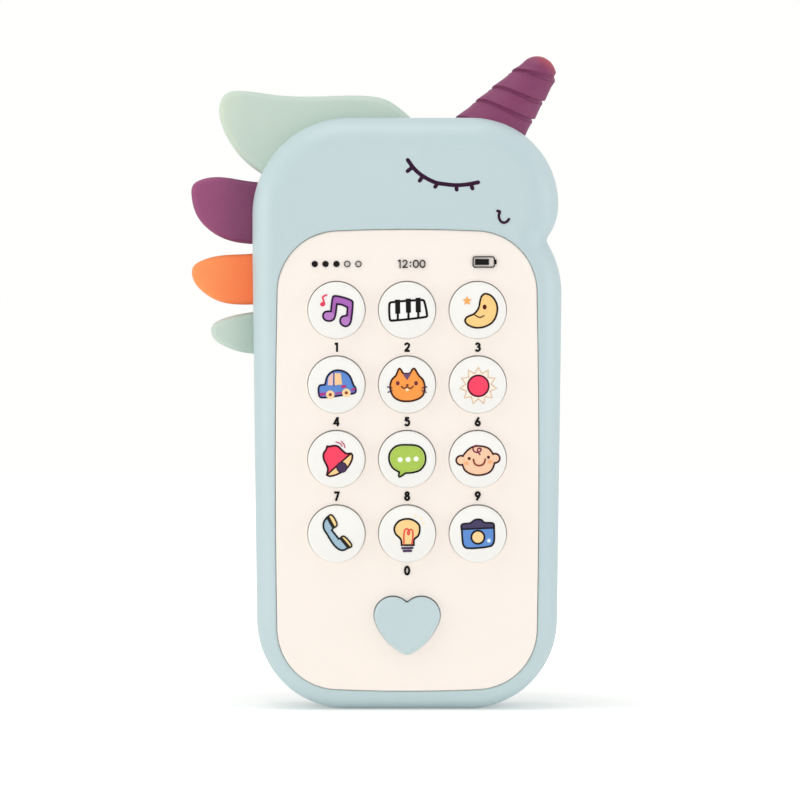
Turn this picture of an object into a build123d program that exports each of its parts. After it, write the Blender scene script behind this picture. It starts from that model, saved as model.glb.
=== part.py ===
"""Toy cell phone with a unicorn head, a coloured mane and a horn.

The phone stands upright on its bottom edge: +X is to the right of someone facing the keys, +Y runs from the
keys to the battery door, +Z is up. The origin is the middle of the flat bottom edge. Lengths are millimetres.

A front shell and a rear shell meet at a flat seam and are held by six screws driven from the back. A
faceplate staked into the front shell carries twelve round keys and a heart button, which press a rubber
membrane on a circuit board. The rear shell holds the speaker, the slide switch and three AAA cells behind a
door with two screws. The four silicone mane locks and the silicone horn have rooted tongues that the two
shells trap in their seam.
"""
from build123d import *
import os
from math import cos, pi, radians, sin, tan

# ---------------------------------------------------------------- casing
body_height = 146.6
foot_rim = 4.6
shoulder_rim = 6.3
head_left_rim = 6.0
head_right_rim = 5.2
front_y = -13.5
back_y = 13.5
seam_y = 1.0
wall = 2.2
front_round = 8.0
back_round = 5.5
bottom_corner = 22.0
head_height = 35.4
shoulder_rise = 15.8
shoulder_corner = 24.0
crown_left_corner = 24.0
crown_right_corner = 21.4
muzzle_corner = 14.0
notch_round = 1.8
lip_thickness = 0.9
lip_height = 1.4
lip_clearance = 0.1
seam_chamfer = 0.2

# ---------------------------------------------------------------- faceplate and its seat
face_half_width = 32.4
face_bottom = 4.8
face_top_drop = 28.05
face_corner = 15.0
face_side_bow = 0.7
face_end_bow = 1.3
face_recess = 0.5
face_thickness = 2.0
face_gap = 0.08
face_lip_round = 0.45
face_edge_round = 0.4
ledge_width = 2.5
ledge_thickness = 1.5
ledge_root = 2.0
stake_inset = 1.6
stake_low_z = 40.0
stake_middle_z = 60.0
stake_top_drop = 18.55
stake_radius = 0.8
stake_clearance = 0.05
stake_head_radius = 1.2
stake_head_height = 0.6

# ---------------------------------------------------------------- keys
key_side_margin = 15.0
key_top_margin = 19.85
key_bottom_row_z = 43.65
key_side_gap = 3.4
key_row_gap = 4.35
key_gap = 0.18
key_settle = 0.13
key_rise = 1.6
key_crown = 0.4
key_edge_round = 0.8
key_skin = 1.3
key_flange_width = 0.9
key_flange_thickness = 1.0
key_seat_gap = 0.1
key_post_radius = 2.0
KEY_NAMES = [
    ["key_1_music", "key_2_piano", "key_3_moon"],
    ["key_4_car", "key_5_cat", "key_6_sun"],
    ["key_7_bell", "key_8_speech", "key_9_baby"],
    ["key_handset", "key_0_bulb", "key_camera"],
]

heart_lobe_radius = 4.6
heart_lobe_x = 3.5
heart_lobe_z = 23.55
heart_lobe_end = 200.0
heart_tip_z = 13.7
heart_tip_round = 2.0
heart_cleft_round = 0.6
heart_rise = 1.9
heart_edge_round = 1.0
heart_post_z = 22.0

# ---------------------------------------------------------------- keypad membrane and circuit board
board_front_y = -5.0
board_thickness = 1.2
board_side_margin = 6.9
board_bottom = 11.5
board_top_margin = 9.8
board_corner = 6.0
board_boss_gap = 0.6
membrane_thickness = 0.8
membrane_inset = 1.0
membrane_hole_gap = 0.5
dome_base_radius = 4.6
dome_top_radius = 2.6
dome_height = 2.3
dome_skin = 0.7
dome_gap = 0.1
pill_radius = 1.6
pill_gap = 1.3
board_post_radius = 2.0
board_low_post_x = 15.5
board_low_post_z = 24.5
board_screw_radius = 0.9
board_screw_length = 5.0
board_screw_head_radius = 1.8
board_screw_head_height = 1.2
led_side_margin = 10.4
led_z = 31.0
led_radius = 1.5
led_height = 4.2
chip_radius = 6.0
chip_height = 1.3
chip_drop = 24.5
capacitor_radius = 2.5
capacitor_height = 6.0
capacitor_x = 15.0
capacitor_rise = 16.2

# ---------------------------------------------------------------- case screws
case_screw_low_inset = 6.2
case_screw_low_z = 11.6
case_screw_middle_inset = 1.8
case_screw_middle_z = 80.0
case_screw_top_inset = 8.4
case_screw_top_drop = 16.1
case_screw_radius = 1.3
case_screw_length = 10.0
case_screw_head_radius = 2.5
case_screw_head_height = 1.6
screw_clearance = 0.05
screw_tip_gap = 0.5
case_well_radius = 2.8
case_well_skin = 1.3
case_well_floor = 1.8
case_boss_radius = 3.1

# ---------------------------------------------------------------- battery bay and door
cell_radius = 5.25
cell_length = 44.5
cell_edge_round = 0.5
cell_nub_radius = 1.9
cell_nub_height = 0.9
cell_pitch = 11.1
bay_bottom = 20.5
bay_side_gap = 0.6
bay_floor_gap = 0.25
bay_wall = 1.2
contact_thickness = 0.4
contact_half_width = 4.0
tag_half_width = 1.5
tag_length = 2.4
tag_gap = 0.1
spring_length = 4.0
spring_radius = 3.0
spring_wire_radius = 0.35
spring_turns = 3.5
cell_door_gap = 0.35
door_thickness = 1.8
door_gap = 0.25
door_seat_gap = 0.1
door_seat_thickness = 1.4
door_corner = 4.0
door_edge_round = 0.4
door_side_lap = 3.0
door_end_lap = 9.0
door_screw_inset = 4.8
door_screw_radius = 1.3
door_screw_length = 7.0
door_screw_head_radius = 2.4
door_screw_head_height = 1.2
door_screw_head_gap = 0.1
door_boss_radius = 3.2
door_boss_depth = 1.5
door_post_skin = 1.3

# ---------------------------------------------------------------- speaker
speaker_drop = 25.6
speaker_radius = 14.0
speaker_rim_width = 1.6
speaker_rim_thickness = 1.2
speaker_depth = 6.0
speaker_skin = 0.6
speaker_neck_radius = 7.6
speaker_coil_radius = 3.4
speaker_paper = 0.4
magnet_radius = 7.0
magnet_thickness = 3.0
speaker_fit = 0.2
speaker_ring_wall = 1.2
speaker_boss_radius = 2.4
speaker_screw_reach = 17.2
speaker_screw_radius = 0.9
speaker_screw_length = 2.8
speaker_screw_head_radius = 3.6
speaker_screw_head_height = 0.8
grille_hole_radius = 0.95
grille_ring_pitch = 3.3
grille_rings = 3

# ---------------------------------------------------------------- slide switch
switch_share = 0.61
switch_travel = 4.0
knob_width = 5.0
knob_height = 3.0
knob_plate_margin = 1.1
knob_plate_thickness = 0.9
knob_gap = 0.15
knob_sunk = 0.3
knob_edge_round = 0.4
switch_pocket_margin = 1.8
switch_pocket_depth = 1.3
switch_pad_thickness = 1.4
switch_pad_margin = 1.4
switch_can_width = 13.0
switch_can_height = 6.0
switch_can_depth = 4.2
switch_can_gap = 0.5
switch_slot_depth = 0.8
lever_width = 2.0
lever_height = 1.2
lever_length = 2.0
lever_gap = 0.1
switch_rib = 1.0
switch_rib_depth = 4.5

# ---------------------------------------------------------------- mane locks and horn
lock_thickness = 7.0
lock_edge_round = 1.7
tongue_thickness = 4.0
tongue_gap = 0.1
tongue_reach = 1.0
flange_thickness = 1.4
flange_depth = 6.6
flange_overlap = 1.6
# Each lock: points along its smooth outline as (x, z) from the casing's left side and top, then its root as
# (x, z, heading, width) from there too.
LOCKS = {
    "mane_top": (
        [(41.0, -3.6), (39.3, 0.4), (37.3, 2.2), (33.4, 4.8), (27.4, 5.9), (15.4, 5.7), (5.4, 6.1),
         (-2.6, 7.1), (-7.0, 6.3), (-8.5, 2.9), (-7.4, -2.7), (-4.5, -7.7), (-0.1, -12.0), (6.4, -15.6)],
        (12.4, -3.2, -60.0, 12.0),
    ),
    "mane_upper": (
        [(4.4, -15.3), (-5.6, -14.7), (-12.2, -14.8), (-15.1, -16.5), (-15.4, -19.4), (-14.1, -24.0),
         (-10.9, -27.7), (-5.9, -30.2), (-0.6, -31.0), (4.4, -31.1)],
        (0.0, -23.3, 0.0, 9.0),
    ),
    "mane_middle": (
        [(4.4, -32.3), (-5.6, -33.8), (-12.5, -35.1), (-15.1, -37.0), (-15.1, -39.7), (-12.8, -42.9),
         (-8.6, -45.4), (-2.6, -46.2), (4.4, -46.2)],
        (0.1, -39.4, 0.0, 7.5),
    ),
    "mane_lower": (
        [(4.4, -46.7), (-2.6, -48.5), (-7.6, -49.8), (-10.3, -51.7), (-10.2, -54.2), (-7.5, -56.5),
         (-3.1, -58.1), (4.4, -58.4)],
        (0.2, -53.0, 0.0, 5.5),
    ),
}
root_length = 18.8
horn_inset = 16.1
horn_drop = 2.1
horn_lean = 39.6
horn_base_radius = 8.0
horn_tip_radius = 4.6
horn_length = 17.2
horn_sunk = 6.0
horn_root_inset = 15.6
horn_root_drop = 0.8
horn_root_heading = -105.0
horn_root_width = 7.0

# ---------------------------------------------------------------- wires
wire_radius = 0.6
wire_bend = 1.6
wire_end_gap = 0.05
speaker_wire_x = 4.5
speaker_wire_drop = 11.0
speaker_wire_drop_on_board = 4.5
switch_wire_x = 2.5
switch_wire_step = 4.0
plus_wire_margin = 13.9
plus_wire_board_z = 77.0

# ================================================================ places worked out from the sizes above
foot_half_width = face_half_width + foot_rim
shoulder_half_width = face_half_width + shoulder_rim
head_left = -face_half_width - head_left_rim
head_right = face_half_width + head_right_rim
head_bottom = body_height - head_height
shoulder_top = head_bottom + shoulder_rise
face_top = body_height - face_top_drop
stake_x = face_half_width - stake_inset
stake_rows = [stake_low_z, stake_middle_z, face_top - stake_top_drop]
key_top_row_z = face_top - key_top_margin
key_pitch_x = face_half_width - key_side_margin
key_pitch_z = (key_top_row_z - key_bottom_row_z) / 3
key_radius = min(key_pitch_x - key_side_gap, key_pitch_z - key_row_gap) / 2
board_half_width = face_half_width - board_side_margin
board_top = key_top_row_z + board_top_margin
board_posts = [(key_pitch_x / 2, key_top_row_z - key_pitch_z / 2),
               (key_pitch_x / 2, key_bottom_row_z + key_pitch_z / 2),
               (board_low_post_x, board_low_post_z)]
led_places = (face_half_width - led_side_margin, led_z)
chip_place = (0, board_top - chip_drop)
case_screws = [(face_half_width - case_screw_low_inset, case_screw_low_z),
               (face_half_width - case_screw_middle_inset, case_screw_middle_z),
               (face_half_width - case_screw_top_inset, body_height - case_screw_top_drop)]
speaker_z = body_height - speaker_drop
speaker_wire_board_z = board_top - speaker_wire_drop_on_board
plus_wire_board = (face_half_width - plus_wire_margin, plus_wire_board_z)
horn_x = head_right - horn_inset
horn_z = body_height - horn_drop
face_front = front_y + face_recess
face_back = face_front + face_thickness
ledge_back = face_back + ledge_thickness
key_flange_front = face_back + key_seat_gap
key_flange_back = key_flange_front + key_flange_thickness
sheet_front = board_front_y - membrane_thickness
dome_top = sheet_front - dome_height
board_back = board_front_y + board_thickness
inner_back = back_y - wall
case_head_seat = seam_y + case_well_floor
case_screw_tip = case_head_seat - case_screw_length
door_inner = back_y - door_thickness
door_seat = door_inner - door_seat_gap
cell_y = door_inner - cell_door_gap - cell_radius
bay_floor = cell_y - cell_radius - bay_floor_gap
bay_half_width = cell_pitch + cell_radius + bay_side_gap
bay_top = bay_bottom + cell_length + spring_length + 2 * contact_thickness
bay_middle = (bay_bottom + bay_top) / 2
capacitor_place = (capacitor_x, bay_top + capacitor_rise)
door_half_width = bay_half_width + door_side_lap
door_half_height = (bay_top - bay_bottom) / 2 + door_end_lap
door_head_seat = door_inner
door_boss_end = door_inner - door_boss_depth
door_post_top = door_boss_end - door_seat_gap
door_top = bay_middle + door_half_height
switch_z = door_top + switch_share * (speaker_z - speaker_radius - door_top)
door_screw_places = [bay_middle - door_half_height + door_screw_inset,
                     bay_middle + door_half_height - door_screw_inset]
rim_front = inner_back - speaker_fit
rim_back = rim_front - speaker_rim_thickness
basket_back = rim_front - speaker_depth
pocket_floor = back_y - switch_pocket_depth
pad_back = pocket_floor - switch_pad_thickness
knob_plate_top = pad_back - knob_gap
knob_plate_bottom = knob_plate_top - knob_plate_thickness
can_top = knob_plate_bottom - switch_can_gap
can_bottom = can_top - switch_can_depth
knob_rest_x = -switch_travel / 2


# ================================================================ helpers
def slab(sketch, near, far):
    """The sketch, drawn in X and Z, made solid from y = near to y = far."""
    plane = Plane(origin=(0, far, 0), x_dir=(1, 0, 0), z_dir=(0, -1, 0))
    return extrude(plane * sketch, amount=far - near)


def turned(points, x, z):
    """A closed profile of (radius, y) points, turned about the line along Y through (x, z)."""
    return turned_face(make_face(Polyline(*points, close=True)), x, z)


def turned_face(profile, x, z):
    plane = Plane(origin=(x, 0, z), x_dir=(1, 0, 0), z_dir=(0, 0, 1))
    return revolve(plane * profile, Axis((x, 0, z), (0, 1, 0)))


def disc(x, z, radius, near, far):
    """A round bar along Y."""
    return slab(Pos(x, z) * Circle(radius), near, far)


def bar(x0, x1, near, far, z0, z1):
    """A square-edged bar between the given limits."""
    return slab(Pos((x0 + x1) / 2, (z0 + z1) / 2) * Rectangle(x1 - x0, z1 - z0), near, far)


def corner_near(sketch, x, z):
    return sketch.vertices().sort_by_distance((x, z, 0))[0]


def rounded_corners(corners):
    """A face through the corners (x, z, radius), each rounded by its own radius."""
    face = Sketch() + make_face(Polyline(*[(x, z) for x, z, _ in corners], close=True))
    for x, z, radius in corners:
        if radius:
            face = fillet(corner_near(face, x, z), radius)
    return face


def rounded_block(left, right, bottom, top, bottom_left, bottom_right, top_right, top_left):
    """A rectangle with its own radius on each corner."""
    return rounded_corners([(left, bottom, bottom_left), (right, bottom, bottom_right),
                            (right, top, top_right), (left, top, top_left)])


def front_edges(solid):
    return solid.faces().sort_by(Axis.Y)[0].edges()


def back_edges(solid):
    return solid.faces().sort_by(Axis.Y)[-1].edges()


def both_sides(places):
    return [(side * x, z) for x, z in places for side in (-1, 1)]


def save(shape, name):
    parts = shape if isinstance(shape, (list, tuple)) else [shape]
    solids = [solid for part in parts for solid in part.solids()]
    whole = solids[0] if len(solids) == 1 else Compound(solids)
    export_step(whole, os.path.join("parts", f"{name}.step"))


# ================================================================ outlines shared by several pieces
def casing_outline():
    """A tall rounded body under a wider-browed head, with a notch under the muzzle on the right."""
    body = rounded_corners([(-foot_half_width, 0, bottom_corner), (foot_half_width, 0, bottom_corner),
                            (shoulder_half_width, shoulder_top, shoulder_corner), (0, shoulder_top, 0),
                            (head_left, head_bottom, 0)])
    head = rounded_block(head_left, head_right, head_bottom, body_height,
                         0, muzzle_corner, crown_right_corner, crown_left_corner)
    whole = body + head
    notches = [v for v in whole.vertices() if v.X > 0 and head_bottom < v.Y < shoulder_top]
    return fillet(min(notches, key=lambda v: v.X), notch_round)


def face_outline():
    """The faceplate's rounded rectangle, its four sides slightly bowed out."""
    x = face_half_width - face_side_bow
    low = face_bottom + face_end_bow
    high = face_top - face_end_bow
    middle = (low + high) / 2
    face = ThreePointArc((-x, low), (0, face_bottom), (x, low))
    face = face + ThreePointArc((x, low), (face_half_width, middle), (x, high))
    face = face + ThreePointArc((x, high), (0, face_top), (-x, high))
    face = face + ThreePointArc((-x, high), (-face_half_width, middle), (-x, low))
    whole = Sketch() + make_face(face)
    return fillet(whole.vertices(), face_corner)


def heart_outline():
    """Two round lobes whose sides run on in one curve to a rounded tip."""
    low = radians(heart_lobe_end)
    high = radians(120)
    notch = (0, heart_lobe_z + (heart_lobe_radius**2 - heart_lobe_x**2) ** 0.5)
    over = (-heart_lobe_x + heart_lobe_radius * cos(high), heart_lobe_z + heart_lobe_radius * sin(high))
    side = (-heart_lobe_x + heart_lobe_radius * cos(low), heart_lobe_z + heart_lobe_radius * sin(low))
    left = ThreePointArc(notch, over, side) + TangentArc(side, (0, heart_tip_z), tangent=(-sin(low), cos(low)))
    whole = Sketch() + make_face(left + mirror(left, Plane.YZ))
    whole = fillet(corner_near(whole, 0, heart_tip_z), heart_tip_round)
    return fillet(corner_near(whole, *notch), heart_cleft_round)


def board_outline():
    board = rounded_block(-board_half_width, board_half_width, board_bottom, board_top, *[board_corner] * 4)
    bite = Circle(case_boss_radius + board_boss_gap)
    return board - [Pos(x, z) * bite for x, z in both_sides(case_screws)]


def grow(sketch, distance):
    return offset(sketch, amount=distance)


OUTLINE = casing_outline()
FACE = face_outline()
HEART = heart_outline()
BOARD = board_outline()
DOOR = rounded_block(-door_half_width, door_half_width, bay_middle - door_half_height,
                     bay_middle + door_half_height, *[door_corner] * 4)

KEY_HOLES = {name: ((column - 1) * key_pitch_x, key_top_row_z - row * key_pitch_z)
             for row, names in enumerate(KEY_NAMES) for column, name in enumerate(names)}
KEYS = {name: (x, z - key_settle) for name, (x, z) in KEY_HOLES.items()}
ROOTS = {name: (head_left + x, body_height + z, heading, width)
         for name, (_, (x, z, heading, width)) in LOCKS.items()}
ROOTS["horn"] = (head_right - horn_root_inset, body_height - horn_root_drop, horn_root_heading, horn_root_width)
SPEAKER_SCREWS = [(speaker_screw_reach * cos(radians(a)), speaker_z + speaker_screw_reach * sin(radians(a)))
                  for a in (90, 210, 330)]


def front_body(inset):
    """The front half's form, smaller by inset all round."""
    block = slab(grow(OUTLINE, -inset) if inset else OUTLINE, front_y + inset, seam_y)
    block = block if inset else chamfer(back_edges(block), seam_chamfer)
    return fillet(front_edges(block), front_round - inset)


def rear_body(inset):
    block = slab(grow(OUTLINE, -inset) if inset else OUTLINE, seam_y, back_y - inset)
    block = block if inset else chamfer(front_edges(block), seam_chamfer)
    return fillet(back_edges(block), back_round - inset)


FRONT_BODY = front_body(0)
REAR_BODY = rear_body(0)


def root_strip(root, margin):
    """A strip that crosses the casing wall at a lock's root, wider than the tongue by the margin."""
    x, z, heading, width = root
    return Pos(x, z) * Rot(0, 0, heading) * Rectangle(root_length, width + 2 * margin)


def tongue_slots():
    return [slab(root_strip(root, tongue_gap), seam_y - tongue_thickness / 2 - tongue_gap,
                 seam_y + tongue_thickness / 2 + tongue_gap) for root in ROOTS.values()]


def opening_edges(shell):
    """The outer edges of the front shell's opening for the faceplate."""
    opening = grow(FACE, face_gap).wire()
    return [edge for edge in shell.edges() if edge.center().Y < face_front - face_lip_round / 4
            and opening.distance_to(Vertex(edge.center().X, edge.center().Z, 0)) < face_gap / 2]


# ================================================================ casing pieces
def make_front_shell():
    """The front half: rounded wall, a ledge for the faceplate, six screw bosses and a lip along the seam."""
    shell = FRONT_BODY - front_body(wall)
    ledge = slab(grow(FACE, ledge_root), face_back - 0.5, ledge_back) & FRONT_BODY
    shell = shell + ledge
    shell = shell - slab(grow(FACE, face_gap), front_y - 1, face_back)
    shell = fillet(opening_edges(shell), face_lip_round)
    shell = shell - slab(grow(FACE, -ledge_width), front_y - 1, ledge_back + 1)
    bosses = []
    for x, z in both_sides(case_screws):
        start = face_back if z < face_top else front_y + wall / 2
        bosses.append(disc(x, z, case_boss_radius, start, seam_y))
    shell = shell + bosses
    shell = shell - [disc(x, z, case_screw_radius + screw_clearance, case_screw_tip - screw_tip_gap, seam_y + 1)
                     for x, z in both_sides(case_screws)]
    shell = shell - [disc(side * stake_x, z, stake_radius + stake_clearance, face_back - 1, ledge_back + 1)
                     for z in stake_rows for side in (-1, 1)]
    lip = slab(grow(OUTLINE, lip_thickness - wall) - grow(OUTLINE, -wall), seam_y - 1, seam_y + lip_height)
    shell = shell + lip
    return shell - tongue_slots()


def make_rear_shell():
    """The rear half: bay, screw wells, speaker ring and grille, switch slot, and a step for the front lip."""
    shell = REAR_BODY - rear_body(wall)
    added = [disc(x, z, case_well_radius + case_well_skin, seam_y, back_y - wall / 2) & REAR_BODY
             for x, z in both_sides(case_screws)]
    outer = bay_half_width + bay_wall
    added.append(bar(-outer, outer, bay_floor - bay_wall, inner_back, bay_bottom - bay_wall, bay_top + bay_wall))
    added.append(slab(grow(DOOR, door_gap + bay_wall), door_seat - door_seat_thickness, inner_back + 0.5))
    for z in door_screw_places:
        end = door_head_seat - door_screw_length - screw_tip_gap - bay_wall
        added.append(disc(0, z, door_boss_radius + door_gap + door_post_skin, end, inner_back + 0.5))
    ring = speaker_radius + speaker_fit
    added.append(disc(0, speaker_z, ring + speaker_ring_wall, rim_back, inner_back + 0.5))
    shell = shell + added

    cuts = [disc(0, speaker_z, ring, rim_back - 1, inner_back)]
    cuts.append(slab(grow(DOOR, door_gap), door_seat, back_y + 1))
    cuts.append(bar(-bay_half_width, bay_half_width, bay_floor, back_y, bay_bottom, bay_top))
    for z in door_screw_places:
        cuts.append(disc(0, z, door_boss_radius + door_gap, door_post_top, back_y))
        cuts.append(disc(0, z, door_screw_radius + screw_clearance,
                         door_head_seat - door_screw_length - screw_tip_gap, back_y))
    for x, z in both_sides(case_screws):
        cuts.append(disc(x, z, case_well_radius, case_head_seat, back_y + 1))
        cuts.append(disc(x, z, case_screw_radius + screw_clearance, seam_y - 1, back_y))
    step = lip_thickness + lip_clearance - wall
    cuts.append(slab(grow(OUTLINE, step) - grow(OUTLINE, -wall - 1), seam_y - 1,
                     seam_y + lip_height + lip_clearance))
    shell = shell - cuts

    added = [disc(x, z, speaker_boss_radius, rim_back, inner_back + 0.5) for x, z in SPEAKER_SCREWS]
    shell = shell + [boss - disc(0, speaker_z, ring, rim_back - 1, inner_back) for boss in added]
    cuts = [disc(x, z, speaker_screw_radius + screw_clearance, rim_back - 1,
                 rim_back + speaker_screw_length + screw_tip_gap / 2) for x, z in SPEAKER_SCREWS]
    cuts += grille_holes()
    cuts += tag_slots()
    shell = shell - cuts
    shell = shell + switch_mount()
    shell = shell - switch_openings()
    return shell - tongue_slots()


def grille_holes():
    """A hole in the middle and rings of holes around it, six more in each ring."""
    holes = [disc(0, speaker_z, grille_hole_radius, inner_back - 0.5, back_y + 1)]
    for ring in range(1, grille_rings + 1):
        for index in range(6 * ring):
            angle = 2 * pi * index / (6 * ring)
            x = ring * grille_ring_pitch * cos(angle)
            z = speaker_z + ring * grille_ring_pitch * sin(angle)
            holes.append(disc(x, z, grille_hole_radius, inner_back - 0.5, back_y + 1))
    return holes


def switch_mount():
    """A thickened pad behind the slot and two ribs that hold the switch can between them."""
    half_x = (switch_travel + knob_width) / 2 + switch_pocket_margin + switch_pad_margin
    half_z = knob_height / 2 + switch_pocket_margin + switch_pad_margin
    mount = [bar(-half_x, half_x, pad_back, inner_back + 0.5, switch_z - half_z, switch_z + half_z)]
    inner = switch_can_width / 2 + lever_gap
    half_rib = switch_can_height / 2
    for x0, x1 in ((-inner - switch_rib, -inner), (inner, inner + switch_rib)):
        mount.append(bar(x0, x1, inner_back - switch_rib_depth, inner_back + 0.5,
                         switch_z - half_rib, switch_z + half_rib))
    return mount


def switch_openings():
    """A shallow pocket in the back and a slot through its floor, as long as the knob's whole travel."""
    half_x = (switch_travel + knob_width) / 2 + switch_pocket_margin
    half_z = knob_height / 2 + switch_pocket_margin
    pocket = Pos(0, switch_z) * RectangleRounded(2 * half_x, 2 * half_z, half_z * 0.6)
    slot_x = (switch_travel + knob_width) / 2 + knob_gap
    slot_z = knob_height / 2 + knob_gap
    return [slab(pocket, pocket_floor, back_y + 1),
            bar(-slot_x, slot_x, pad_back - 1, back_y, switch_z - slot_z, switch_z + slot_z)]


def make_faceplate():
    """The cream panel: key holes, a heart hole, posts for the board and stakes melted over the ledge."""
    plate = fillet(front_edges(slab(FACE, face_front, face_back)), face_edge_round)
    plate = plate - [disc(x, z, key_radius + key_gap, face_front - 1, face_back + 1) for x, z in KEY_HOLES.values()]
    plate = plate - slab(grow(HEART, key_gap), face_front - 1, face_back + 1)
    added = [disc(x, z, board_post_radius, face_back - 0.5, board_front_y) for x, z in both_sides(board_posts)]
    for z in stake_rows:
        for side in (-1, 1):
            added.append(disc(side * stake_x, z, stake_radius, face_back - 0.5, ledge_back + stake_head_height))
            added.append(disc(side * stake_x, z, stake_head_radius, ledge_back, ledge_back + stake_head_height))
    plate = plate + added
    tip = board_back - board_screw_length - screw_tip_gap / 2
    return plate - [disc(x, z, board_screw_radius + screw_clearance, tip, board_front_y + 1)
                    for x, z in both_sides(board_posts)]


# ================================================================ keys and heart button
def make_key(x, z):
    """A crowned round cap, hollow behind, with a stop flange and a post over its dome."""
    top = face_front - key_rise
    rim = key_radius - key_edge_round
    crown = TangentArc((0, top - key_crown), (rim, top), tangent=(1, 0))
    edge = TangentArc((key_radius, top + key_edge_round), (rim, top), tangent=(0, -1))
    rest = Polyline(
        (key_radius, top + key_edge_round),
        (key_radius, key_flange_front),
        (key_radius + key_flange_width, key_flange_front),
        (key_radius + key_flange_width, key_flange_back),
        (key_radius - key_skin, key_flange_back),
        (key_radius - key_skin, top + key_skin),
        (key_post_radius, top + key_skin),
        (key_post_radius, dome_top - dome_gap),
        (0, dome_top - dome_gap),
        (0, top - key_crown),
    )
    return turned_face(make_face(crown + edge + rest), x, z)


def make_heart():
    """A heart-shaped cap made like the keys: hollow, with a stop flange and a post."""
    top = face_front - heart_rise
    cap = fillet(front_edges(slab(HEART, top, key_flange_back)), heart_edge_round)
    cap = cap + slab(grow(HEART, key_flange_width), key_flange_front, key_flange_back)
    cap = cap - slab(grow(HEART, -key_skin), top + key_skin, key_flange_back + 1)
    cap = Pos(0, 0, -key_settle) * cap
    return cap + disc(0, heart_post_z, key_post_radius, top + key_skin / 2, dome_top - dome_gap)


# ================================================================ electronics
def make_membrane():
    """One rubber sheet with a hollow dome and a contact pill under every key."""
    sheet = slab(grow(BOARD, -membrane_inset), sheet_front, board_front_y)
    sheet = sheet - [disc(x, z, board_post_radius + membrane_hole_gap, sheet_front - 1, board_front_y + 1)
                     for x, z in both_sides(board_posts)]
    sheet = sheet - [disc(x, z, led_radius + membrane_hole_gap, sheet_front - 1, board_front_y + 1)
                     for x, z in both_sides([led_places])]
    places = list(KEYS.values()) + [(0, heart_post_z)]
    domes = [turned([(0, dome_top), (dome_top_radius, dome_top), (dome_base_radius, sheet_front),
                     (dome_base_radius, board_front_y), (0, board_front_y)], x, z) for x, z in places]
    hollow = dome_base_radius - dome_skin
    pill_end = board_front_y - pill_gap
    hollows = [turned([(0, board_front_y + 1), (hollow, board_front_y + 1), (hollow, sheet_front),
                       (dome_top_radius - dome_skin / 2, dome_top + dome_skin),
                       (pill_radius, dome_top + dome_skin), (pill_radius, pill_end), (0, pill_end)], x, z)
               for x, z in places]
    return sheet + domes - hollows


def make_board():
    board = slab(BOARD, board_front_y, board_back)
    return board - [disc(x, z, board_screw_radius + screw_clearance, board_front_y - 1, board_back + 1)
                    for x, z in both_sides(board_posts)]


def make_chip():
    """The black resin drop over the bonded chip."""
    top = board_back + chip_height
    dome = TangentArc((0, top), (chip_radius, board_back), tangent=(1, 0))
    base = Polyline((chip_radius, board_back), (0, board_back), (0, top))
    return turned_face(make_face(dome + base), *chip_place)


def make_capacitor():
    can = disc(*capacitor_place, capacitor_radius, board_back, board_back + capacitor_height)
    return fillet(back_edges(can), capacitor_radius / 8)


def make_led(x, z):
    """A round lamp with a domed end towards the faceplate and a small collar on the board."""
    tip = board_front_y - led_height
    collar = led_radius * 1.2
    dome = TangentArc((led_radius, tip + led_radius), (0, tip), tangent=(0, -1))
    body = Polyline((0, tip), (0, board_front_y), (collar, board_front_y), (collar, board_front_y - 0.6),
                    (led_radius, board_front_y - 0.6), (led_radius, tip + led_radius))
    return turned_face(make_face(dome + body), x, z)


# ================================================================ screws
def make_screw(x, z, seat, radius, length, head_radius, head_height, drives_back):
    """A pan-head screw along Y with a cross recess; drives_back is +1 when its head faces +Y."""
    head_end = seat + drives_back * head_height
    tip = seat - drives_back * length
    head = disc(x, z, head_radius, min(seat, head_end), max(seat, head_end))
    top = back_edges(head) if drives_back > 0 else front_edges(head)
    head = fillet(top, head_height * 0.35)
    reach = head_radius * 0.62
    deep = head_end - drives_back * head_height * 0.55
    high = head_end + drives_back
    arm = radius * 0.28
    recess = [bar(x - reach, x + reach, min(deep, high), max(deep, high), z - arm, z + arm),
              bar(x - arm, x + arm, min(deep, high), max(deep, high), z - reach, z + reach)]
    shank = disc(x, z, radius, min(seat, tip), max(seat, tip))
    return head + shank - recess


def make_case_screws():
    return [make_screw(x, z, case_head_seat, case_screw_radius, case_screw_length, case_screw_head_radius,
                       case_screw_head_height, 1) for x, z in both_sides(case_screws)]


def make_door_screws():
    return [make_screw(0, z, door_head_seat, door_screw_radius, door_screw_length, door_screw_head_radius,
                       door_screw_head_height, 1) for z in door_screw_places]


def make_board_screws():
    return [make_screw(x, z, board_back, board_screw_radius, board_screw_length, board_screw_head_radius,
                       board_screw_head_height, 1) for x, z in both_sides(board_posts)]


def make_speaker_screws():
    return [make_screw(x, z, rim_back, speaker_screw_radius, speaker_screw_length, speaker_screw_head_radius,
                       speaker_screw_head_height, -1) for x, z in SPEAKER_SCREWS]


# ================================================================ batteries
def cell_places():
    """Each cell's x and whether its raised end points up; neighbours point opposite ways."""
    return [(-cell_pitch, True), (0, False), (cell_pitch, True)]


def make_cell(x, points_up):
    body_length = cell_length - cell_nub_height
    low = bay_bottom + contact_thickness + (spring_length if points_up else cell_nub_height)
    body = Pos(x, cell_y, low + body_length / 2) * Cylinder(cell_radius, body_length)
    body = fillet(body.edges().filter_by(GeomType.CIRCLE), cell_edge_round)
    nub_z = low + body_length if points_up else low
    half = cell_nub_height if points_up else -cell_nub_height
    nub = Pos(x, cell_y, nub_z + half / 2) * Cylinder(cell_nub_radius, cell_nub_height)
    return body + nub


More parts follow.
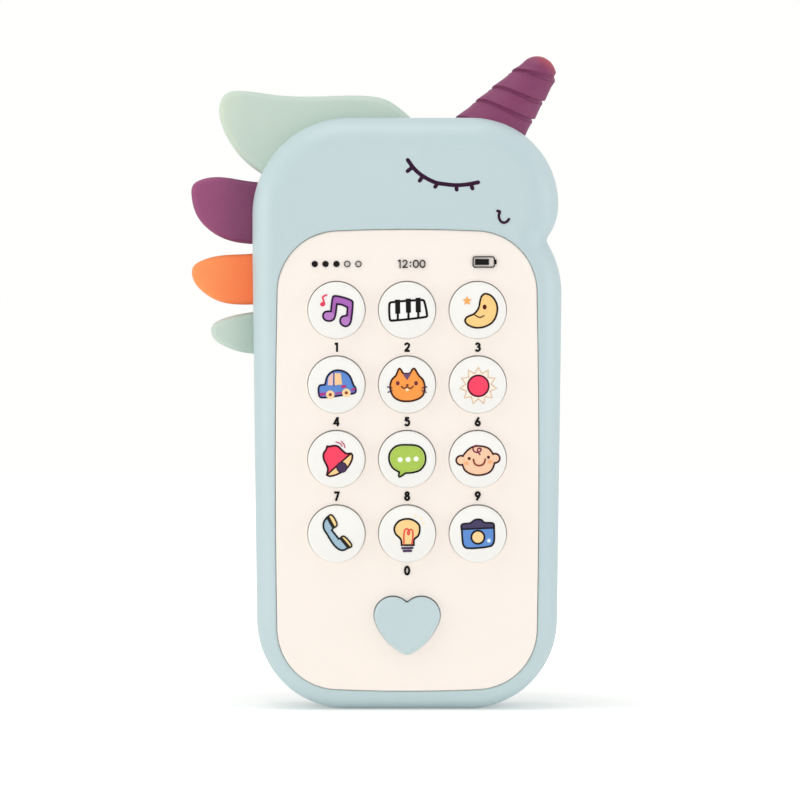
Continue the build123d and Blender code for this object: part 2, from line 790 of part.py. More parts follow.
def contact_plate(x0, x1, at_top):
    z0 = bay_top - contact_thickness if at_top else bay_bottom
    return bar(x0 - contact_half_width, x1 + contact_half_width, cell_y - contact_half_width,
               cell_y + contact_half_width, z0, z0 + contact_thickness)


def contact_tag(x, at_top):
    """The solder tag that passes through the bay's end wall."""
    reach = bay_wall + tag_length
    z0 = bay_top - contact_thickness if at_top else bay_bottom - reach
    return bar(x - tag_half_width, x + tag_half_width, cell_y - contact_half_width,
               cell_y - contact_half_width + contact_thickness, z0, z0 + reach + contact_thickness)


def tag_slots():
    slots = []
    for x, z in ((-cell_pitch, bay_bottom - bay_wall / 2), (cell_pitch, bay_top + bay_wall / 2)):
        slots.append(bar(x - tag_half_width - tag_gap, x + tag_half_width + tag_gap,
                         cell_y - contact_half_width - tag_gap,
                         cell_y - contact_half_width + contact_thickness + tag_gap,
                         z - bay_wall, z + bay_wall))
    return slots


def make_contact_springs():
    """The coil springs that press on the flat ends of the cells."""
    height = spring_length - 2 * spring_wire_radius - 0.1
    coils = []
    for x, points_up in cell_places():
        low = bay_bottom + contact_thickness if points_up else bay_top - contact_thickness - spring_length
        start = low + spring_wire_radius + 0.05
        path = Helix(height / spring_turns, height, spring_radius, center=(x, cell_y, start))
        section = Plane(origin=path @ 0, z_dir=path % 0) * Circle(spring_wire_radius)
        coils.append(sweep(section, path=path, is_frenet=True))
    return coils


def make_battery_door():
    """A flat panel flush with the back, thickened around its two screws."""
    door = fillet(back_edges(slab(DOOR, door_inner, back_y)), door_edge_round)
    door = door + [disc(0, z, door_boss_radius, door_boss_end, door_inner + 0.5) for z in door_screw_places]
    for z in door_screw_places:
        door = door - disc(0, z, door_screw_head_radius + door_screw_head_gap, door_head_seat, back_y + 1)
        door = door - disc(0, z, door_screw_radius + screw_clearance, door_boss_end - 1, back_y)
    return door


# ================================================================ speaker
def make_speaker_basket():
    """A pressed dish: a flat rim, a sloping wall and a closed floor."""
    inner_rim = speaker_radius - speaker_rim_width
    return turned([(inner_rim, rim_front), (speaker_radius, rim_front), (speaker_radius, rim_back),
                   (inner_rim + speaker_skin, rim_back), (speaker_neck_radius, basket_back), (0, basket_back),
                   (0, basket_back + speaker_skin), (speaker_neck_radius - speaker_skin / 2,
                                                     basket_back + speaker_skin),
                   (inner_rim, rim_back + speaker_skin)], 0, speaker_z)


def make_speaker_cone():
    """Paper cone, dust cap and voice coil in one piece."""
    edge = speaker_radius - speaker_rim_width - 0.1
    neck = basket_back + 0.35 * speaker_depth
    coil = speaker_coil_radius
    return turned([(edge, rim_front - speaker_paper / 2), (edge, rim_front - 1.5 * speaker_paper),
                   (coil, neck), (coil, basket_back + speaker_skin + 0.2),
                   (coil - speaker_paper, basket_back + speaker_skin + 0.2),
                   (coil - speaker_paper, neck + speaker_paper),
                   (0, neck + 3 * speaker_paper), (0, neck + 4 * speaker_paper),
                   (coil + speaker_paper / 2, neck + 1.5 * speaker_paper)], 0, speaker_z)


def make_magnet():
    magnet = disc(0, speaker_z, magnet_radius, basket_back - magnet_thickness, basket_back)
    return fillet(front_edges(magnet), 0.5)


# ================================================================ slide switch
def make_switch_can():
    can = bar(-switch_can_width / 2, switch_can_width / 2, can_bottom, can_top,
              switch_z - switch_can_height / 2, switch_z + switch_can_height / 2)
    slot_x = (switch_travel + lever_width) / 2 + lever_gap
    slot_z = lever_height / 2 + lever_gap
    return can - bar(-slot_x, slot_x, can_top - switch_slot_depth, can_top + 1,
                     switch_z - slot_z, switch_z + slot_z)


def make_switch_lever():
    return bar(knob_rest_x - lever_width / 2, knob_rest_x + lever_width / 2,
               can_top - switch_slot_depth + lever_gap, can_top + lever_length,
               switch_z - lever_height / 2, switch_z + lever_height / 2)


def make_switch_knob():
    """A ribbed grip in the slot, a plate behind the wall and a socket for the lever."""
    top = back_y - knob_sunk
    grip = bar(knob_rest_x - knob_width / 2, knob_rest_x + knob_width / 2, knob_plate_bottom, top,
               switch_z - knob_height / 2, switch_z + knob_height / 2)
    grip = fillet(back_edges(grip), knob_edge_round)
    margin = knob_plate_margin
    plate = bar(knob_rest_x - knob_width / 2 - margin, knob_rest_x + knob_width / 2 + margin,
                knob_plate_bottom, knob_plate_top,
                switch_z - knob_height / 2 - margin, switch_z + knob_height / 2 + margin)
    knob = grip + plate
    pitch = knob_width / 5
    for index in (-1, 0, 1):
        x = knob_rest_x + index * pitch
        knob = knob - bar(x - pitch / 5, x + pitch / 5, top - knob_edge_round, top + 1,
                          switch_z - knob_height, switch_z + knob_height)
    socket_x = lever_width / 2 + screw_clearance
    socket_z = lever_height / 2 + screw_clearance
    return knob - bar(knob_rest_x - socket_x, knob_rest_x + socket_x, knob_plate_bottom - 1,
                      can_top + lever_length + lever_gap, switch_z - socket_z, switch_z + socket_z)


# ================================================================ mane locks and horn
def make_root(root):
    """The tongue through the casing wall and the flange that keeps it from pulling out."""
    inner = wall + tongue_gap
    within = grow(OUTLINE, tongue_reach) - grow(OUTLINE, -inner - flange_thickness)
    band = grow(OUTLINE, -inner) - grow(OUTLINE, -inner - flange_thickness)
    tongue = slab(root_strip(root, 0) & within, seam_y - tongue_thickness / 2, seam_y + tongue_thickness / 2)
    flange = slab(root_strip(root, flange_overlap) & band, seam_y - flange_depth / 2, seam_y + flange_depth / 2)
    return tongue + flange


def make_lock(name):
    """A soft flat lock: its outline made solid, rounded all round and seated on the casing's side."""
    points = [(head_left + x, body_height + z) for x, z in LOCKS[name][0]]
    outline = make_face(Spline(*points) + Line(points[-1], points[0]))
    lock = slab(outline, seam_y - lock_thickness / 2, seam_y + lock_thickness / 2)
    rims = [edge for edge in front_edges(lock) + back_edges(lock) if edge.geom_type != GeomType.LINE]
    lock = fillet(rims, lock_edge_round)
    return lock - slab(OUTLINE, front_y, back_y) + make_root(ROOTS[name])


def make_horn():
    """A leaning cone with a round tip, cut to sit on the rounded top of the head."""
    grow_rate = (horn_base_radius - horn_tip_radius) / horn_length
    low = -horn_sunk
    cap = ThreePointArc((horn_tip_radius, horn_length),
                        (horn_tip_radius * cos(pi / 4), horn_length + horn_tip_radius * sin(pi / 4)),
                        (0, horn_length + horn_tip_radius))
    side = Polyline((0, horn_length + horn_tip_radius), (0, low), (horn_base_radius - grow_rate * low, low),
                    (horn_tip_radius, horn_length))
    cone = revolve(Plane.XZ * make_face(cap + side), Axis.Z)
    cone = Pos(horn_x, seam_y, horn_z) * Rot(0, horn_lean, 0) * cone
    return cone - FRONT_BODY - REAR_BODY + make_root(ROOTS["horn"])


# ================================================================ wires
def make_wire(*points):
    """An insulated wire of straight runs joined by even bends."""
    path = FilletPolyline(*points, radius=wire_bend) if len(points) > 2 else Line(*points)
    section = Plane(origin=path @ 0, z_dir=path % 0) * Circle(wire_radius)
    return sweep(section, path=path)


def make_minus_wire():
    start = bay_bottom - bay_wall - tag_length + wire_radius
    tag_front = cell_y - contact_half_width
    return make_wire((-cell_pitch, tag_front - wire_end_gap, start), (-cell_pitch, board_back + wire_end_gap, start))


def make_plus_wire():
    x, z = plus_wire_board
    start = bay_top + bay_wall + tag_length - wire_radius
    tag_front = cell_y - contact_half_width
    turn = tag_front - wire_radius - 2 * wire_bend
    return make_wire((cell_pitch, tag_front - wire_end_gap, start), (cell_pitch, turn, start),
                     (x, turn, z), (x, board_back + wire_end_gap, z))


def make_speaker_wires():
    """Two wires from the basket down to the board."""
    slope = (rim_back - basket_back) / (speaker_radius - speaker_rim_width + speaker_skin - speaker_neck_radius)
    wires = []
    for x in (-speaker_wire_x, speaker_wire_x):
        reach = (speaker_wire_drop**2 + x**2) ** 0.5 - wire_radius
        start = basket_back + slope * (reach - speaker_neck_radius) - 0.2
        turn = basket_back - 1.0
        z = speaker_z - speaker_wire_drop
        wires.append(make_wire((x, start, z), (x, turn, z), (x, turn, speaker_wire_board_z),
                               (x, board_back + wire_end_gap, speaker_wire_board_z)))
    return wires


def make_switch_wires():
    wires = []
    turn = (can_bottom + board_back) / 2
    for x in (-switch_wire_x, switch_wire_x):
        wires.append(make_wire((x, can_bottom - wire_end_gap, switch_z), (x, turn, switch_z),
                               (x, turn, switch_z + switch_wire_step),
                               (x, board_back + wire_end_gap, switch_z + switch_wire_step)))
    return wires


# ================================================================ all the pieces
def build_all():
    os.makedirs("parts", exist_ok=True)
    save(make_front_shell(), "front_shell")
    save(make_rear_shell(), "rear_shell")
    save(make_faceplate(), "faceplate")
    for name, (x, z) in KEYS.items():
        save(make_key(x, z), name)
    save(make_heart(), "heart_button")
    save(make_membrane(), "keypad_membrane")
    save(make_board(), "main_board")
    save(make_chip(), "chip_blob")
    save(make_capacitor(), "capacitor")
    save([make_led(x, z) for x, z in both_sides([led_places])], "leds")
    save(make_board_screws(), "board_screws")
    save(make_case_screws(), "case_screws")
    save(make_battery_door(), "battery_door")
    save(make_door_screws(), "door_screws")
    for index, (x, points_up) in enumerate(cell_places()):
        save(make_cell(x, points_up), f"battery_{index + 1}")
    save(contact_plate(-cell_pitch, -cell_pitch, False) + contact_tag(-cell_pitch, False), "contact_minus")
    save(contact_plate(cell_pitch, cell_pitch, True) + contact_tag(cell_pitch, True), "contact_plus")
    save(contact_plate(0, cell_pitch, False), "contact_link_lower")
    save(contact_plate(-cell_pitch, 0, True), "contact_link_upper")
    save(make_contact_springs(), "contact_springs")
    save(make_speaker_basket(), "speaker_basket")
    save(make_speaker_cone(), "speaker_cone")
    save(make_magnet(), "speaker_magnet")
    save(make_speaker_screws(), "speaker_screws")
    save(make_switch_can(), "switch_can")
    save(make_switch_lever(), "switch_lever")
    save(make_switch_knob(), "switch_knob")
    save(make_plus_wire(), "wire_battery_plus")
    save(make_minus_wire(), "wire_battery_minus")
    save(make_speaker_wires(), "wires_speaker")
    save(make_switch_wires(), "wires_switch")
    for name in LOCKS:
        save(make_lock(name), name)
    save(make_horn(), "horn")


build_all()
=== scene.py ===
"""Toy cell phone with a unicorn head, standing on its bottom edge on a white table.

Metres, +X to the right of someone facing the keys, +Y towards the battery door, +Z up.
The sections follow the toy as it is put together, from the rear shell to the mane and horn.
"""
import bmesh
import bpy
import numpy as np
from math import atan2, cos, hypot, pi, radians, sin
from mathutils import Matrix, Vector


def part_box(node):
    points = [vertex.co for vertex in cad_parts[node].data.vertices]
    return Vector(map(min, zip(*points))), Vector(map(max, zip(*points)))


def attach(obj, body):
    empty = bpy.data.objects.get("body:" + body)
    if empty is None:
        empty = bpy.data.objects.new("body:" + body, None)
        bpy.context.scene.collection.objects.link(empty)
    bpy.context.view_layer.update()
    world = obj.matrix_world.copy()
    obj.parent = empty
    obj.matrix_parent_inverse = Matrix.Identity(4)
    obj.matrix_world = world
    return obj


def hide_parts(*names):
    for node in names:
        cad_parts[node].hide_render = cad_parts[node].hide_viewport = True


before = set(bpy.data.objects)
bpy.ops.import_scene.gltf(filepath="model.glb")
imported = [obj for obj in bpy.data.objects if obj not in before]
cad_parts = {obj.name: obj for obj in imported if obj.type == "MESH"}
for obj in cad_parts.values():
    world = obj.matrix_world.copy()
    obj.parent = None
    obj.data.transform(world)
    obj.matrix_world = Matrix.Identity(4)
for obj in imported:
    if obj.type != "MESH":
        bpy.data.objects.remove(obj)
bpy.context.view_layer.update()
MM = 0.001

# ---------------------------------------------------------------- table, lamps and camera
# The toy stands on a white table in a white room, between four broad soft lamps: above, in front and at each
# side. The matt table glows a little, least close to the toy, so the toy's soft shadow stays.


def srgb(red, green, blue):
    """The linear colour of a screen colour given as three values up to 255."""
    c = np.array([red, green, blue]) / 255
    linear = np.where(c <= 0.04045, c / 12.92, ((c + 0.055) / 1.055) ** 2.4)
    return (*linear.tolist(), 1.0)


class Signal:
    """One shader socket. Arithmetic on it adds Math nodes, and numbers alone stay in Python."""

    def __init__(self, finish, socket):
        self.finish = finish
        self.socket = socket

    def math(self, operation, *values):
        return self.finish.node("ShaderNodeMath", {"operation": operation}, *values)

    def __add__(self, other):
        return self.math("ADD", self, other)

    def __sub__(self, other):
        return self.math("SUBTRACT", self, other)

    def __rsub__(self, other):
        return self.math("SUBTRACT", other, self)

    def __mul__(self, other):
        return self.math("MULTIPLY", self, other)

    def __truediv__(self, other):
        return self.math("DIVIDE", self, other)

    def above(self, edge, soft):
        """0 below the edge and 1 above it, with a soft step between."""
        return self.finish.node("ShaderNodeMapRange", {"interpolation_type": "SMOOTHSTEP"},
                                Value=self, From_Min=edge - soft, From_Max=edge + soft)

    __radd__ = __add__
    __rmul__ = __mul__


class Finish:
    """A material under construction: a Principled shader with its constant sockets already set."""

    def __init__(self, name, **constants):
        self.material = bpy.data.materials.new(name)
        self.material.use_nodes = True
        self.tree = self.material.node_tree
        self.tree.nodes.clear()
        self.output = self.tree.nodes.new("ShaderNodeOutputMaterial")
        self.shader = self.tree.nodes.new("ShaderNodeBsdfPrincipled")
        self.tree.links.new(self.shader.outputs[0], self.output.inputs["Surface"])
        for socket, value in constants.items():
            self.shader.inputs[socket.replace("_", " ")].default_value = value

    def node(self, kind, settings=None, *values, **sockets):
        """Adds a node, sets its settings and then its sockets, and gives its first output that is in use."""
        node = self.tree.nodes.new(kind)
        for name, value in (settings or {}).items():
            setattr(node, name, value)
        for index, value in enumerate(values):
            self.feed(node.inputs[index], value)
        for name, value in sockets.items():
            named = [s for s in node.inputs if s.enabled and s.name == name.replace("_", " ")]
            self.feed(named[0], value)
        return Signal(self, next(s for s in node.outputs if s.enabled))

    def feed(self, socket, value):
        if isinstance(value, Signal):
            self.tree.links.new(value.socket, socket)
        else:
            socket.default_value = value

    def place(self):
        """Object coordinates, in metres from the toy's own origin."""
        node = self.tree.nodes.new("ShaderNodeTexCoord")
        return Signal(self, node.outputs["Object"])

    def along(self, axis):
        """The object coordinate along X, Y or Z, in metres."""
        parts = self.node("ShaderNodeSeparateXYZ", None, self.place()).socket.node
        return Signal(self, parts.outputs[axis])

    def flat_xz(self):
        """Object coordinates with X and Z as the first two, for patterns that lie in the toy's face."""
        return self.node("ShaderNodeCombineXYZ", None, X=self.along("X"), Y=self.along("Z"))

    def noise(self, size, detail=2.0):
        """Cloudy values from 0 to 1 whose blotches are about size metres across."""
        return self.node("ShaderNodeTexNoise", None, Vector=self.place(), Scale=1 / size, Detail=detail)

    def mix(self, factor, first, second):
        """A colour between the two."""
        return self.node("ShaderNodeMix", {"data_type": "RGBA"}, Factor=factor, A=first, B=second)

    def set(self, socket, value):
        self.feed(self.shader.inputs[socket], value)
        return self

    def bump(self, height, distance):
        """Relief in the shading, from a height of 0 to 1 that stands for the distance in metres."""
        return self.set("Normal", self.node("ShaderNodeBump", None, Height=height, Distance=distance, Strength=1.0))


table_reach = 3.0
table_drop = 0.02 * MM
glow_edge, glow_soft = 0.085, 0.04
glow_near, glow_far = (0.2, 0.2, 0.19, 1), (0.6, 0.6, 0.58, 1)
glow_on_toy = (0.15, 0.15, 0.15, 1)
table_white = Finish("table_white", Roughness=0.9, Specular_IOR_Level=0.0)
table_white.set("Base Color", table_white.mix(table_white.noise(0.15), srgb(247, 247, 246), srgb(251, 251, 250)))
from_middle = table_white.node("ShaderNodeVectorMath", {"operation": "LENGTH"}, table_white.place())
glow_seen = table_white.mix(from_middle.above(glow_edge, glow_soft), glow_near, glow_far)
camera_ray = table_white.node("ShaderNodeLightPath")
glow = table_white.node("ShaderNodeEmission", None, Color=table_white.mix(camera_ray, glow_on_toy, glow_seen))
table_sum = table_white.tree.nodes.new("ShaderNodeAddShader")
for index, part in enumerate((table_white.shader.outputs[0], glow.socket)):
    table_white.tree.links.new(part, table_sum.inputs[index])
table_white.tree.links.new(table_sum.outputs[0], table_white.output.inputs["Surface"])

table_mesh = bpy.data.meshes.new("table")
table_mesh.from_pydata([(-table_reach, -table_reach, 0), (table_reach, -table_reach, 0),
                        (table_reach, table_reach, 0), (-table_reach, table_reach, 0)], [], [(0, 1, 2, 3)])
table = bpy.data.objects.new("table", table_mesh)
bpy.context.scene.collection.objects.link(table)
table_mesh.materials.append(table_white.material)
table.location.z = -table_drop

# The room is white to the camera and in reflections, and dimmer as a light.
world = bpy.data.worlds.new("white_room")
bpy.context.scene.world = world
world.use_nodes = True
room = world.node_tree
room.nodes.clear()
room_path = room.nodes.new("ShaderNodeLightPath")
room_share = room_path.outputs["Is Camera Ray"]
for ray in ("Is Glossy Ray", "Is Transmission Ray"):
    room_either = room.nodes.new("ShaderNodeMath")
    room_either.operation = "MAXIMUM"
    room.links.new(room_share, room_either.inputs[0])
    room.links.new(room_path.outputs[ray], room_either.inputs[1])
    room_share = room_either.outputs[0]
room_light = ((1, 1, 1, 1), 0.6)
room_seen = ((1, 1, 0.985, 1), 1.0)
room_mix = room.nodes.new("ShaderNodeMixShader")
room.links.new(room_share, room_mix.inputs[0])
for socket, (colour, strength) in enumerate((room_light, room_seen), start=1):
    backdrop = room.nodes.new("ShaderNodeBackground")
    backdrop.inputs["Color"].default_value = colour
    backdrop.inputs["Strength"].default_value = strength
    room.links.new(backdrop.outputs[0], room_mix.inputs[socket])
room_output = room.nodes.new("ShaderNodeOutputWorld")
room.links.new(room_mix.outputs[0], room_output.inputs["Surface"])

lamp_width = 0.5


def lamp(name, place, aim_height, power, colour=(1, 1, 1)):
    """A square soft lamp at a place, turned to face the toy's upright axis at a height."""
    light = bpy.data.lights.new(name, "AREA")
    light.size = lamp_width
    light.energy = power
    light.color = colour
    holder = bpy.data.objects.new(name, light)
    bpy.context.scene.collection.objects.link(holder)
    holder.location = place
    way = np.array((0, 0, aim_height)) - np.array(place)
    holder.rotation_euler = (atan2(hypot(way[0], way[1]), -way[2]), 0, atan2(way[1], way[0]) - pi / 2)


lamp("overhead", (-0.1, -0.12, 0.9), 0.1, 2.1)
lamp("front", (0.0, -0.9, 0.12), 0.05, 1.25)
lamp("left_side", (-0.9, -0.2, 0.2), 0.08, 2.0, (1, 1, 0.93))
lamp("right_side", (0.9, -0.2, 0.2), 0.08, 1.65, (0.96, 0.98, 1))

camera_distance = 0.9
camera_x, camera_height = -1.75 * MM, 76.5 * MM
view_width = 0.2
sensor = 36.0
camera = bpy.data.cameras.new("camera")
camera.sensor_width = sensor
camera.lens = sensor * camera_distance / view_width
camera.clip_start = 0.05
viewer = bpy.data.objects.new("camera", camera)
bpy.context.scene.collection.objects.link(viewer)
viewer.location = (camera_x, -camera_distance, camera_height)
viewer.rotation_euler = (pi / 2, 0, 0)
bpy.context.scene.camera = viewer
bpy.context.scene.view_settings.view_transform = "Standard"


# ---------------------------------------------------------------- rear shell and battery door
# The back half of the casing and the door over the cells: light-blue ABS from a spark-eroded mould, satin,
# with a very fine grain. The shell holds the battery bay, the speaker and the switch.


def dress(names, finish):
    """Puts a finish in every material slot of the named solids."""
    for name in names:
        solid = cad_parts[name]
        if not solid.material_slots:
            solid.data.materials.append(finish.material)
        for place in solid.material_slots:
            place.material = finish.material


def moulded(name, first, second, rough=0.42, grain=0.25 * MM, depth=0.006 * MM):
    """Moulded plastic: two close colours in broad clouds, and a fine grain that also varies the gloss."""
    finish = Finish(name, IOR=1.5)
    clouds = finish.noise(28 * MM, 1.0)
    finish.set("Base Color", finish.mix(clouds, srgb(*first), srgb(*second)))
    finish.set("Roughness", rough + 0.10 * (finish.noise(6 * MM, 3.0) - 0.5))
    return finish.bump(finish.noise(grain, 2.0), depth)


shell_blue = moulded("shell_blue", (188, 207, 211), (192, 210, 213))
dress(["rear_shell", "battery_door", "front_shell"], shell_blue)

# ---------------------------------------------------------------- cells and contacts
# Three AAA cells in steel jackets with a printed sleeve, dark with a copper-coloured band at the plus end.
# The springs and plates are nickel-plated strip, pressed into slots at both ends of the bay.
band_length = 12 * MM
bare_end, bare_other_end = 0.95 * MM, 0.6 * MM
bare_soft, band_soft = 0.1 * MM, 0.15 * MM
for index in (1, 2, 3):
    name = f"battery_{index}"
    low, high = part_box(name)
    points_up = index != 2
    cell = Finish(f"cell_sleeve_{index}", IOR=1.5, Coat_Weight=0.6, Coat_Roughness=0.12)
    height = cell.along("Z")
    from_plus = (high.z - height) if points_up else (height - low.z)
    other_end = high.z - low.z - bare_other_end
    band = from_plus.above(band_length, band_soft)
    covered = from_plus.above(bare_end, bare_soft) * (1 - from_plus.above(other_end, bare_soft))
    sleeve = cell.mix(band, srgb(186, 120, 68), srgb(38, 42, 48))
    cell.set("Base Color", cell.mix(covered, srgb(196, 196, 192), sleeve))
    cell.set("Metallic", 0.9 - 0.75 * covered)
    cell.set("Roughness", 0.3 + 0.1 * cell.noise(2 * MM))
    dress([name], cell)


def plated(name, colour, rough, streak=0.5 * MM):
    """Plated or drawn metal with faint clouds in its gloss."""
    finish = Finish(name, Metallic=1.0)
    tone = finish.noise(streak * 4, 3.0)
    darker = tuple(0.86 * c for c in colour)
    finish.set("Base Color", finish.mix(tone, srgb(*darker), srgb(*colour)))
    finish.set("Roughness", rough + 0.18 * (finish.noise(streak, 3.0) - 0.5))
    return finish.bump(finish.noise(0.2 * MM), 0.002 * MM)


dress(["contact_minus", "contact_plus", "contact_link_lower", "contact_link_upper", "contact_springs"],
      plated("contact_nickel", (205, 200, 190), 0.28))

# ---------------------------------------------------------------- speaker
# A zinc-plated basket with a black pressed-paper cone and a ferrite magnet behind it. It sits in the ring
# inside the grille, held by three washer-head screws.
dress(["speaker_basket"], plated("basket_steel", (186, 187, 190), 0.34))
cone = Finish("cone_paper")
cone_fibre = cone.noise(0.35 * MM, 4.0)
cone.set("Base Color", cone.mix(cone_fibre, srgb(34, 33, 33), srgb(52, 50, 49)))
cone.set("Roughness", 0.8 + 0.1 * cone_fibre)
cone.bump(cone_fibre, 0.05 * MM)
dress(["speaker_cone"], cone)
ferrite = Finish("magnet_dark")
ferrite_grain = ferrite.noise(0.3 * MM, 5.0)
ferrite.set("Base Color", ferrite.mix(ferrite_grain, srgb(46, 46, 49), srgb(62, 62, 64)))
ferrite.set("Roughness", 0.55 + 0.2 * ferrite_grain)
ferrite.bump(ferrite_grain, 0.02 * MM)
dress(["speaker_magnet"], ferrite)
screw_steel = plated("screw_steel", (190, 190, 188), 0.3)
dress(["speaker_screws"], screw_steel)

# ---------------------------------------------------------------- slide switch
# A tin-plated can with a black nylon lever, and the moulded grey knob that covers the slot in the back.
# The knob sits on the lever, and the two slide together.
dress(["switch_can"], plated("can_steel", (198, 198, 196), 0.25))
dress(["switch_lever"], moulded("lever_black", (22, 22, 23), (28, 28, 29), 0.5))
dress(["switch_knob"], moulded("knob_grey", (120, 140, 148), (126, 146, 153), 0.48))

# ---------------------------------------------------------------- circuit board
# Glass-fibre board under green solder mask, with copper tracks that show through, a resin blob over the
# sound chip, a capacitor in its sleeve and two clear lamps. Six small screws hold it to the faceplate's posts.
board = Finish("board_green", IOR=1.5, Coat_Weight=0.3, Coat_Roughness=0.15)
tracks = board.node("ShaderNodeTexBrick", {"offset": 0.35, "squash": 0.6, "squash_frequency": 3},
                    Vector=board.flat_xz(), Scale=1 / (6 * MM), Mortar_Size=0.045, Brick_Width=0.9, Row_Height=0.3,
                    Color1=(0, 0, 0, 1), Color2=(0, 0, 0, 1), Mortar=(1, 1, 1, 1))
board.set("Base Color", board.mix(tracks, srgb(22, 84, 46), srgb(52, 120, 62)))
board.set("Roughness", 0.42 + 0.1 * board.noise(1.5 * MM))
board.bump(tracks, 0.03 * MM)
dress(["main_board"], board)
dress(["chip_blob"], moulded("chip_black", (18, 18, 18), (26, 26, 26), 0.3, 1.5 * MM, 0.05 * MM))
dress(["capacitor"], moulded("capacitor_sleeve", (30, 34, 48), (36, 40, 54), 0.35))
lamp_clear = Finish("lamp_clear", IOR=1.5, Transmission_Weight=0.85)
lamp_cloud = lamp_clear.noise(1.5 * MM)
lamp_clear.set("Base Color", lamp_clear.mix(lamp_cloud, srgb(236, 238, 240), srgb(248, 249, 250)))
lamp_clear.set("Roughness", 0.08 + 0.05 * lamp_clear.noise(1 * MM))
dress(["leds"], lamp_clear)
dress(["board_screws"], screw_steel)

# ---------------------------------------------------------------- wires
# Stranded wire in thin PVC: red and black from the cells, blue to the speaker, yellow to the switch.
# The insulation is satin, in two close shades of its colour.
for name, colour in (("wire_battery_plus", (196, 34, 30)), ("wire_battery_minus", (24, 24, 25)),
                     ("wires_speaker", (32, 70, 160)), ("wires_switch", (222, 186, 40))):
    lighter = tuple(min(255, 1.06 * c + 3) for c in colour)
    dress([name], moulded(f"{name}_insulation", colour, lighter, 0.38))

# ---------------------------------------------------------------- keypad membrane
# One sheet of grey silicone rubber with a dome under each key, between the keys and the circuit board. It is
# matt, with a powdery bloom that makes its colour and its gloss a little uneven.
rubber = Finish("membrane_grey", IOR=1.42)
bloom = rubber.noise(3 * MM, 4.0)
rubber.set("Base Color", rubber.mix(bloom, srgb(158, 160, 162), srgb(170, 171, 172)))
rubber.set("Roughness", 0.62 + 0.12 * bloom)
rubber.bump(rubber.noise(0.15 * MM), 0.01 * MM)
dress(["keypad_membrane"], rubber)

# ---------------------------------------------------------------- printed face on the front shell
# The closed eye with its lashes and the nostril are pad-printed on the head in thick dark-purple ink. Prints
# are measured in millimetres: a layer starts SINK below the surface, and its top lies LIFT and some steps above.
LIFT = 0.05
LAYER_STEP = 0.012
CREST = 0.01
SINK = 0.08
TINY = 1e-9


def smooth(points, closed=False, sharp=(), steps=7):
    """A curve through the points: each span is a cubic that leaves a point towards the next but one.
    The listed points stay sharp: there the span starts along itself."""
    p = np.array(points, float)
    n = len(p)
    first = np.arange(n if closed else n - 1)
    second = (first + 1) % n
    before = (first - 1) % n if closed else np.maximum(first - 1, 0)
    after = (first + 2) % n if closed else np.minimum(first + 2, n - 1)
    span = p[second] - p[first]
    length = np.linalg.norm(span, axis=1, keepdims=True)

    def heading(ahead, own, pointed):
        way = np.where(pointed[:, None], own, ahead)
        return way / np.maximum(np.linalg.norm(way, axis=1, keepdims=True), TINY) * length

    leave = heading(p[second] - p[before], span, np.isin(first, sharp))
    arrive = heading(p[after] - p[first], span, np.isin(second, sharp))
    t = np.linspace(0, 1, steps, endpoint=False)[None, :, None]
    a, b = p[first][:, None], p[second][:, None]
    m, k = leave[:, None], arrive[:, None]
    path = a * (1 + 2 * t) * (1 - t) ** 2 + b * t**2 * (3 - 2 * t) + m * t * (1 - t) ** 2 - k * t**2 * (1 - t)
    path = path.reshape(-1, 2)
    return path if closed else np.vstack([path, p[-1:]])


def oval(x, z, wide, tall=None, turn=0.0, count=48):
    """Points of an ellipse: the cosine and sine of even steps, times its half sizes, then turned."""
    a = np.linspace(0, 2 * pi, count, endpoint=False)
    across, up = wide * np.cos(a), (tall or wide) * np.sin(a)
    c, s = cos(radians(turn)), sin(radians(turn))
    return np.stack([x + c * across - s * up, z + s * across + c * up], axis=1)


def starburst(x, z, points, far, near):
    """Points of a star: even turns from the top, whose reach is far and near by turns."""
    step = np.arange(2 * points)
    turn = pi / 2 + pi / points * step
    reach = np.where(step % 2 == 0, far, near)
    return np.stack([x + reach * np.cos(turn), z + reach * np.sin(turn)], axis=1)


def loops_to_faces(rings, columns, first, joined):
    """Four-cornered faces between rings of points. If joined, the last ring meets the first; if not, a point
    after the rings closes each end with a fan."""
    ring = first + np.arange(rings * columns).reshape(rings, columns)
    after = np.roll(ring, -1, axis=1)
    spans = rings if joined else rings - 1
    ahead, ahead_after = np.roll(ring, -1, axis=0)[:spans], np.roll(after, -1, axis=0)[:spans]
    faces = np.stack([ring[:spans], after[:spans], ahead_after, ahead], axis=-1).reshape(-1, 4).tolist()
    if not joined:
        start = np.full(columns, first + rings * columns)
        faces += np.stack([after[0], ring[0], start], axis=-1).tolist()
        faces += np.stack([ring[-1], after[-1], start + 1], axis=-1).tolist()
    return faces


def new_piece(name, points, faces, finish, body, slot):
    """A mesh object from points in metres, its faces turned outwards, riding on a body."""
    mesh = bpy.data.meshes.new(name)
    mesh.from_pydata(np.asarray(points, float).tolist(), [], faces)
    shape = bmesh.new()
    shape.from_mesh(mesh)
    bmesh.ops.recalc_face_normals(shape, faces=shape.faces)
    shape.to_mesh(mesh)
    shape.free()
    mesh.polygons.foreach_set("use_smooth", np.full(len(mesh.polygons), True))
    mesh.materials.append(finish.material)
    piece = bpy.data.objects.new(name, mesh)
    bpy.context.scene.collection.objects.link(piece)
    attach(piece, body)
    return piece


